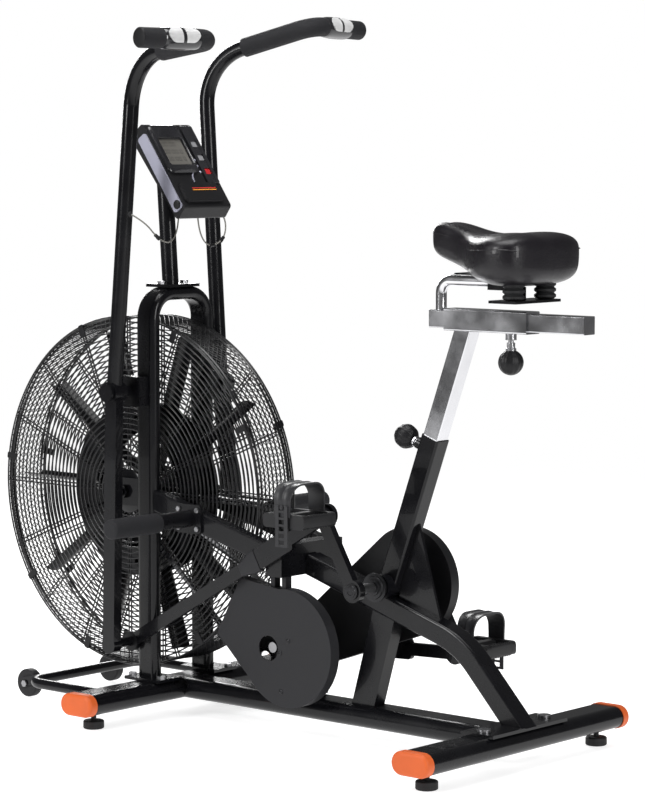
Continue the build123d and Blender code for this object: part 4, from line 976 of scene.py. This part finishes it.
# figures on the display: plain seven-bar zeros in three rows
figures = bmesh.new()
BARS = ((0, 1, True), (0, -1, True), (-1, 0.5, False), (1, 0.5, False), (-1, -0.5, False), (1, -0.5, False))
DIGIT_W, DIGIT_H = 0.0032, 0.0042
for row_v, columns in ((0.047, (-0.040, -0.031, -0.018, -0.009)), (0.030, (-0.042, -0.033, -0.020, -0.011, 0.002)),
                       (0.013, (-0.042, -0.033, -0.020, -0.011, 0.002))):
    for column in columns:
        for du, dv, flat in BARS:
            size = (DIGIT_W * 1.5, 0.0008) if flat else (0.0008, DIGIT_H * 0.85)
            plate(figures, on_face(column + du * DIGIT_W * 0.85, row_v + dv * DIGIT_H, 0.0001), face_n, across_c,
                  rounded_rect(size[0], size[1], 0.0002, 1), 0.0003)
keep("display_figures", figures, "screen_ink", "frame")

red_line = bmesh.new()
plate(red_line, on_face(0.004, -0.0600, 0.0070), face_n, across_c, rounded_rect(0.066, 0.0018, 0.0008, 2), 0.0006)
keep("tray_line_red", red_line, "decal_red", "frame")
orange_line = bmesh.new()
plate(orange_line, on_face(0.004, -0.0640, 0.0070), face_n, across_c, rounded_rect(0.066, 0.0018, 0.0008, 2), 0.0006)
keep("tray_line_orange", orange_line, "decal_orange", "frame")
crescent = bmesh.new()
bow = [on_face(0.018 + 0.024 * math.cos(turn), -0.040 + 0.024 * math.sin(turn), 0.001)
       for turn in [math.radians(95 + 9 * k) for k in range(11)]]
sweep(crescent, bow, rounded_rect(0.003, 0.003, 0.0009, 2), up=face_n)
smooth(keep("console_crescent", crescent, "silver_plastic", "frame"))
valley_keys = bmesh.new()
for step in range(3):
    dome(valley_keys, on_face(0.0265, 0.010 - 0.014 * step, -0.0002), face_n, 0.0028, 0.0018)
smooth(keep("valley_buttons", valley_keys, "silver_plastic", "frame"))

bosses = bmesh.new()
for sign in (-1, 1):
    spot = on_face(sign * CONSOLE_HALF, -0.084, -0.013)
    lathe(bosses, spot, (0, sign, 0), [(0, 0.009), (0.004, 0.009), (0.0062, 0.007), (0.0066, 0.003)], 24)
smooth(keep("console_bosses", bosses, "black_plastic", "frame"))

# ------------------------------------------------------------------ rods: flared collar before the flat sleeve
for side, sign in SIDES:
    foot = joint_at("rod_" + side + "_pivot")
    eye = joint_at("pedal_" + side + "_spin")
    eye.y = foot.y
    direction = (eye - foot).normalized()
    length = (eye - foot).length
    collar = bmesh.new()
    lift = direction.cross(Vector((0, 1, 0))).normalized()
    sections = ((0.575, 0.0125, 0.0052), (0.60, 0.016, 0.006), (0.635, 0.0215, 0.0062), (0.66, 0.0222, 0.0062))
    rings_made = []
    for share, tall, thick in sections:
        place = foot + direction * length * share
        rings_made.append([collar.verts.new(place + lift * a + Vector((0, b, 0)))
                           for a, b in rounded_rect(tall * 2, thick * 2, thick * 0.7, 4)])
    skin(collar, rings_made)
    smooth(keep("rod_collar_" + side, collar, "grey_paint", "rod_" + side))
    hub = bmesh.new()
    lathe(hub, (foot.x, foot.y - sign * 0.0055, foot.z), (0, sign, 0),
          [(0, 0.0165), (0.003, 0.0185), (0.0108, 0.0185), (0.0112, 0.015)], 32)
    smooth(keep("rod_foot_boss_" + side, hub, "black_plastic", "rod_" + side))

# ------------------------------------------------------------------ bolts, caps and nuts
bright = bmesh.new()
for bolt_sign in (-1, 1):
    peg_flange = Vector((node_box("foot_pegs")[0].x + 0.033, bolt_sign * 0.0925, 0.395))
    for du, dv in ((-0.024, 0.018), (-0.024, -0.018), (0.024, 0.018), (0.024, -0.018)):
        hexagon(bright, peg_flange + Vector((du, 0, dv)), (0, bolt_sign, 0), 0.0055, 0.004)
crank_at = joint_at("crank_spin")
jack_at = joint_at("jackshaft_spin")
smooth(keep("bright_bolts", bright, "zinc_steel", "frame"))

crank_caps = bmesh.new()
for sign in (-1, 1):
    lathe(crank_caps, (crank_at.x, sign * 0.1150, crank_at.z), (0, sign, 0),
          [(0, 0.0150), (0.0030, 0.0150), (0.0032, 0.0118), (0.0046, 0.0112), (0.0048, 0.0070), (0.0040, 0.0060)],
          32)
smooth(keep("crank_washers", crank_caps, "black_oxide", "crankset"))
bearing_cups = bmesh.new()
shell_side = node_box("bb_shell")[1].y
for sign in (-1, 1):
    lathe(bearing_cups, (crank_at.x, sign * (shell_side + 0.0003), crank_at.z), (0, sign, 0),
          [(0, 0.0270), (0.0030, 0.0270), (0.0034, 0.0215), (0.0066, 0.0205), (0.0070, 0.0150), (0.0092, 0.0145),
           (0.0094, 0.0112)], 40)
smooth(keep("bearing_cups", bearing_cups, "black_oxide", "frame"))

guard_screws = bmesh.new()
guard_face = node_box("chain_guard")[0].y
for gx, gz in ((0.050, 0.019), (0.030, -0.006), (0.032, -0.079)):
    dome(guard_screws, Vector((jack_at.x + gx, guard_face, jack_at.z + gz)), (0, -1, 0), 0.0045, 0.0024)
smooth(keep("guard_screws", guard_screws, "black_oxide", "frame"))

wheel_caps = bmesh.new()
for side, sign in SIDES:
    at = joint_at("transport_wheel_" + side + "_spin")
    for face in (-1, 1):
        hexagon(wheel_caps, (at.x, at.y + face * 0.0142, at.z), (0, face, 0), 0.0075, 0.004)
smooth(keep("wheel_nuts", wheel_caps, "zinc_steel", "frame"))

# ------------------------------------------------------------------ stage
FLOOR_R = 5.0
FADE_FROM = 1.4                      # beyond this the floor brightens into the backdrop
floor_mesh = bpy.data.meshes.new("floor")
floor_bm = bmesh.new()
floor_bm.faces.new([floor_bm.verts.new((a, b, -0.0005)) for a, b in circle(FLOOR_R, 96)])
floor_bm.to_mesh(floor_mesh)
floor_bm.free()
floor = bpy.data.objects.new("floor", floor_mesh)
bpy.context.collection.objects.link(floor)
pale = bpy.data.materials.new("pale_floor")
pale.use_nodes = True
pale_shader = pale.node_tree.nodes["Principled BSDF"]
pale_shader.inputs["Base Color"].default_value = (0.6, 0.6, 0.6, 1)
pale_shader.inputs["Roughness"].default_value = 0.8
pale_shader.inputs["Emission Color"].default_value = (1, 1, 1, 1)
pale_shader.inputs["Emission Strength"].default_value = 0.74
pale_tree = pale.node_tree
spot = value_of(pale_tree, "ShaderNodeTexCoord")
from_middle = value_of(pale_tree, "ShaderNodeVectorMath", operation="LENGTH")
fade = value_of(pale_tree, "ShaderNodeMapRange", interpolation_type="SMOOTHSTEP", in_From_Min=FADE_FROM,
                in_From_Max=0.94 * FLOOR_R)
glow = value_of(pale_tree, "ShaderNodeEmission", in_Strength=1.0)
meet = value_of(pale_tree, "ShaderNodeMixShader")
pale_tree.links.new(spot.outputs["Object"], from_middle.inputs[0])
pale_tree.links.new(from_middle.outputs["Value"], fade.inputs["Value"])
pale_tree.links.new(fade.outputs["Result"], meet.inputs[0])
pale_tree.links.new(pale_shader.outputs[0], meet.inputs[1])
pale_tree.links.new(glow.outputs[0], meet.inputs[2])
pale_tree.links.new(meet.outputs[0], pale_tree.nodes["Material Output"].inputs["Surface"])
floor_mesh.materials.append(pale)

world = bpy.data.worlds.new("studio")
world.use_nodes = True
sky = world.node_tree
seen = value_of(sky, "ShaderNodeLightPath")
backdrop = sky.nodes["Background"]
backdrop.inputs["Color"].default_value = (0.5, 0.5, 0.5, 1)
backdrop.inputs["Strength"].default_value = 0.24
bright_backdrop = value_of(sky, "ShaderNodeBackground")
bright_backdrop.inputs["Color"].default_value = (1, 1, 1, 1)
bright_backdrop.inputs["Strength"].default_value = 1.0
choose = value_of(sky, "ShaderNodeMixShader")
sky.links.new(seen.outputs["Is Camera Ray"], choose.inputs[0])
sky.links.new(backdrop.outputs[0], choose.inputs[1])
sky.links.new(bright_backdrop.outputs[0], choose.inputs[2])
sky.links.new(choose.outputs[0], sky.nodes["World Output"].inputs["Surface"])
bpy.context.scene.world = world


def soft_light(name, place, wide, tall, power, aim=Vector((0, 0, 0.6))):
    data = bpy.data.lights.new(name, "AREA")
    data.shape = "RECTANGLE"
    data.size = wide
    data.size_y = tall
    data.energy = power
    lamp = bpy.data.objects.new(name, data)
    bpy.context.collection.objects.link(lamp)
    lamp.location = place
    lamp.rotation_euler = (Vector(place) - aim).to_track_quat("Z", "Y").to_euler()


soft_light("key_light", (-1.2, -3.6, 2.2), 0.9, 2.6, 120)
soft_light("fill_light", (4.2, -0.6, 1.9), 0.8, 2.6, 90)
soft_light("top_light", (0.2, -0.3, 3.9), 2.6, 2.0, 110)
soft_light("back_light", (-3.0, 2.4, 2.2), 1.0, 2.4, 90)
bpy.context.scene.view_settings.view_transform = "Standard"
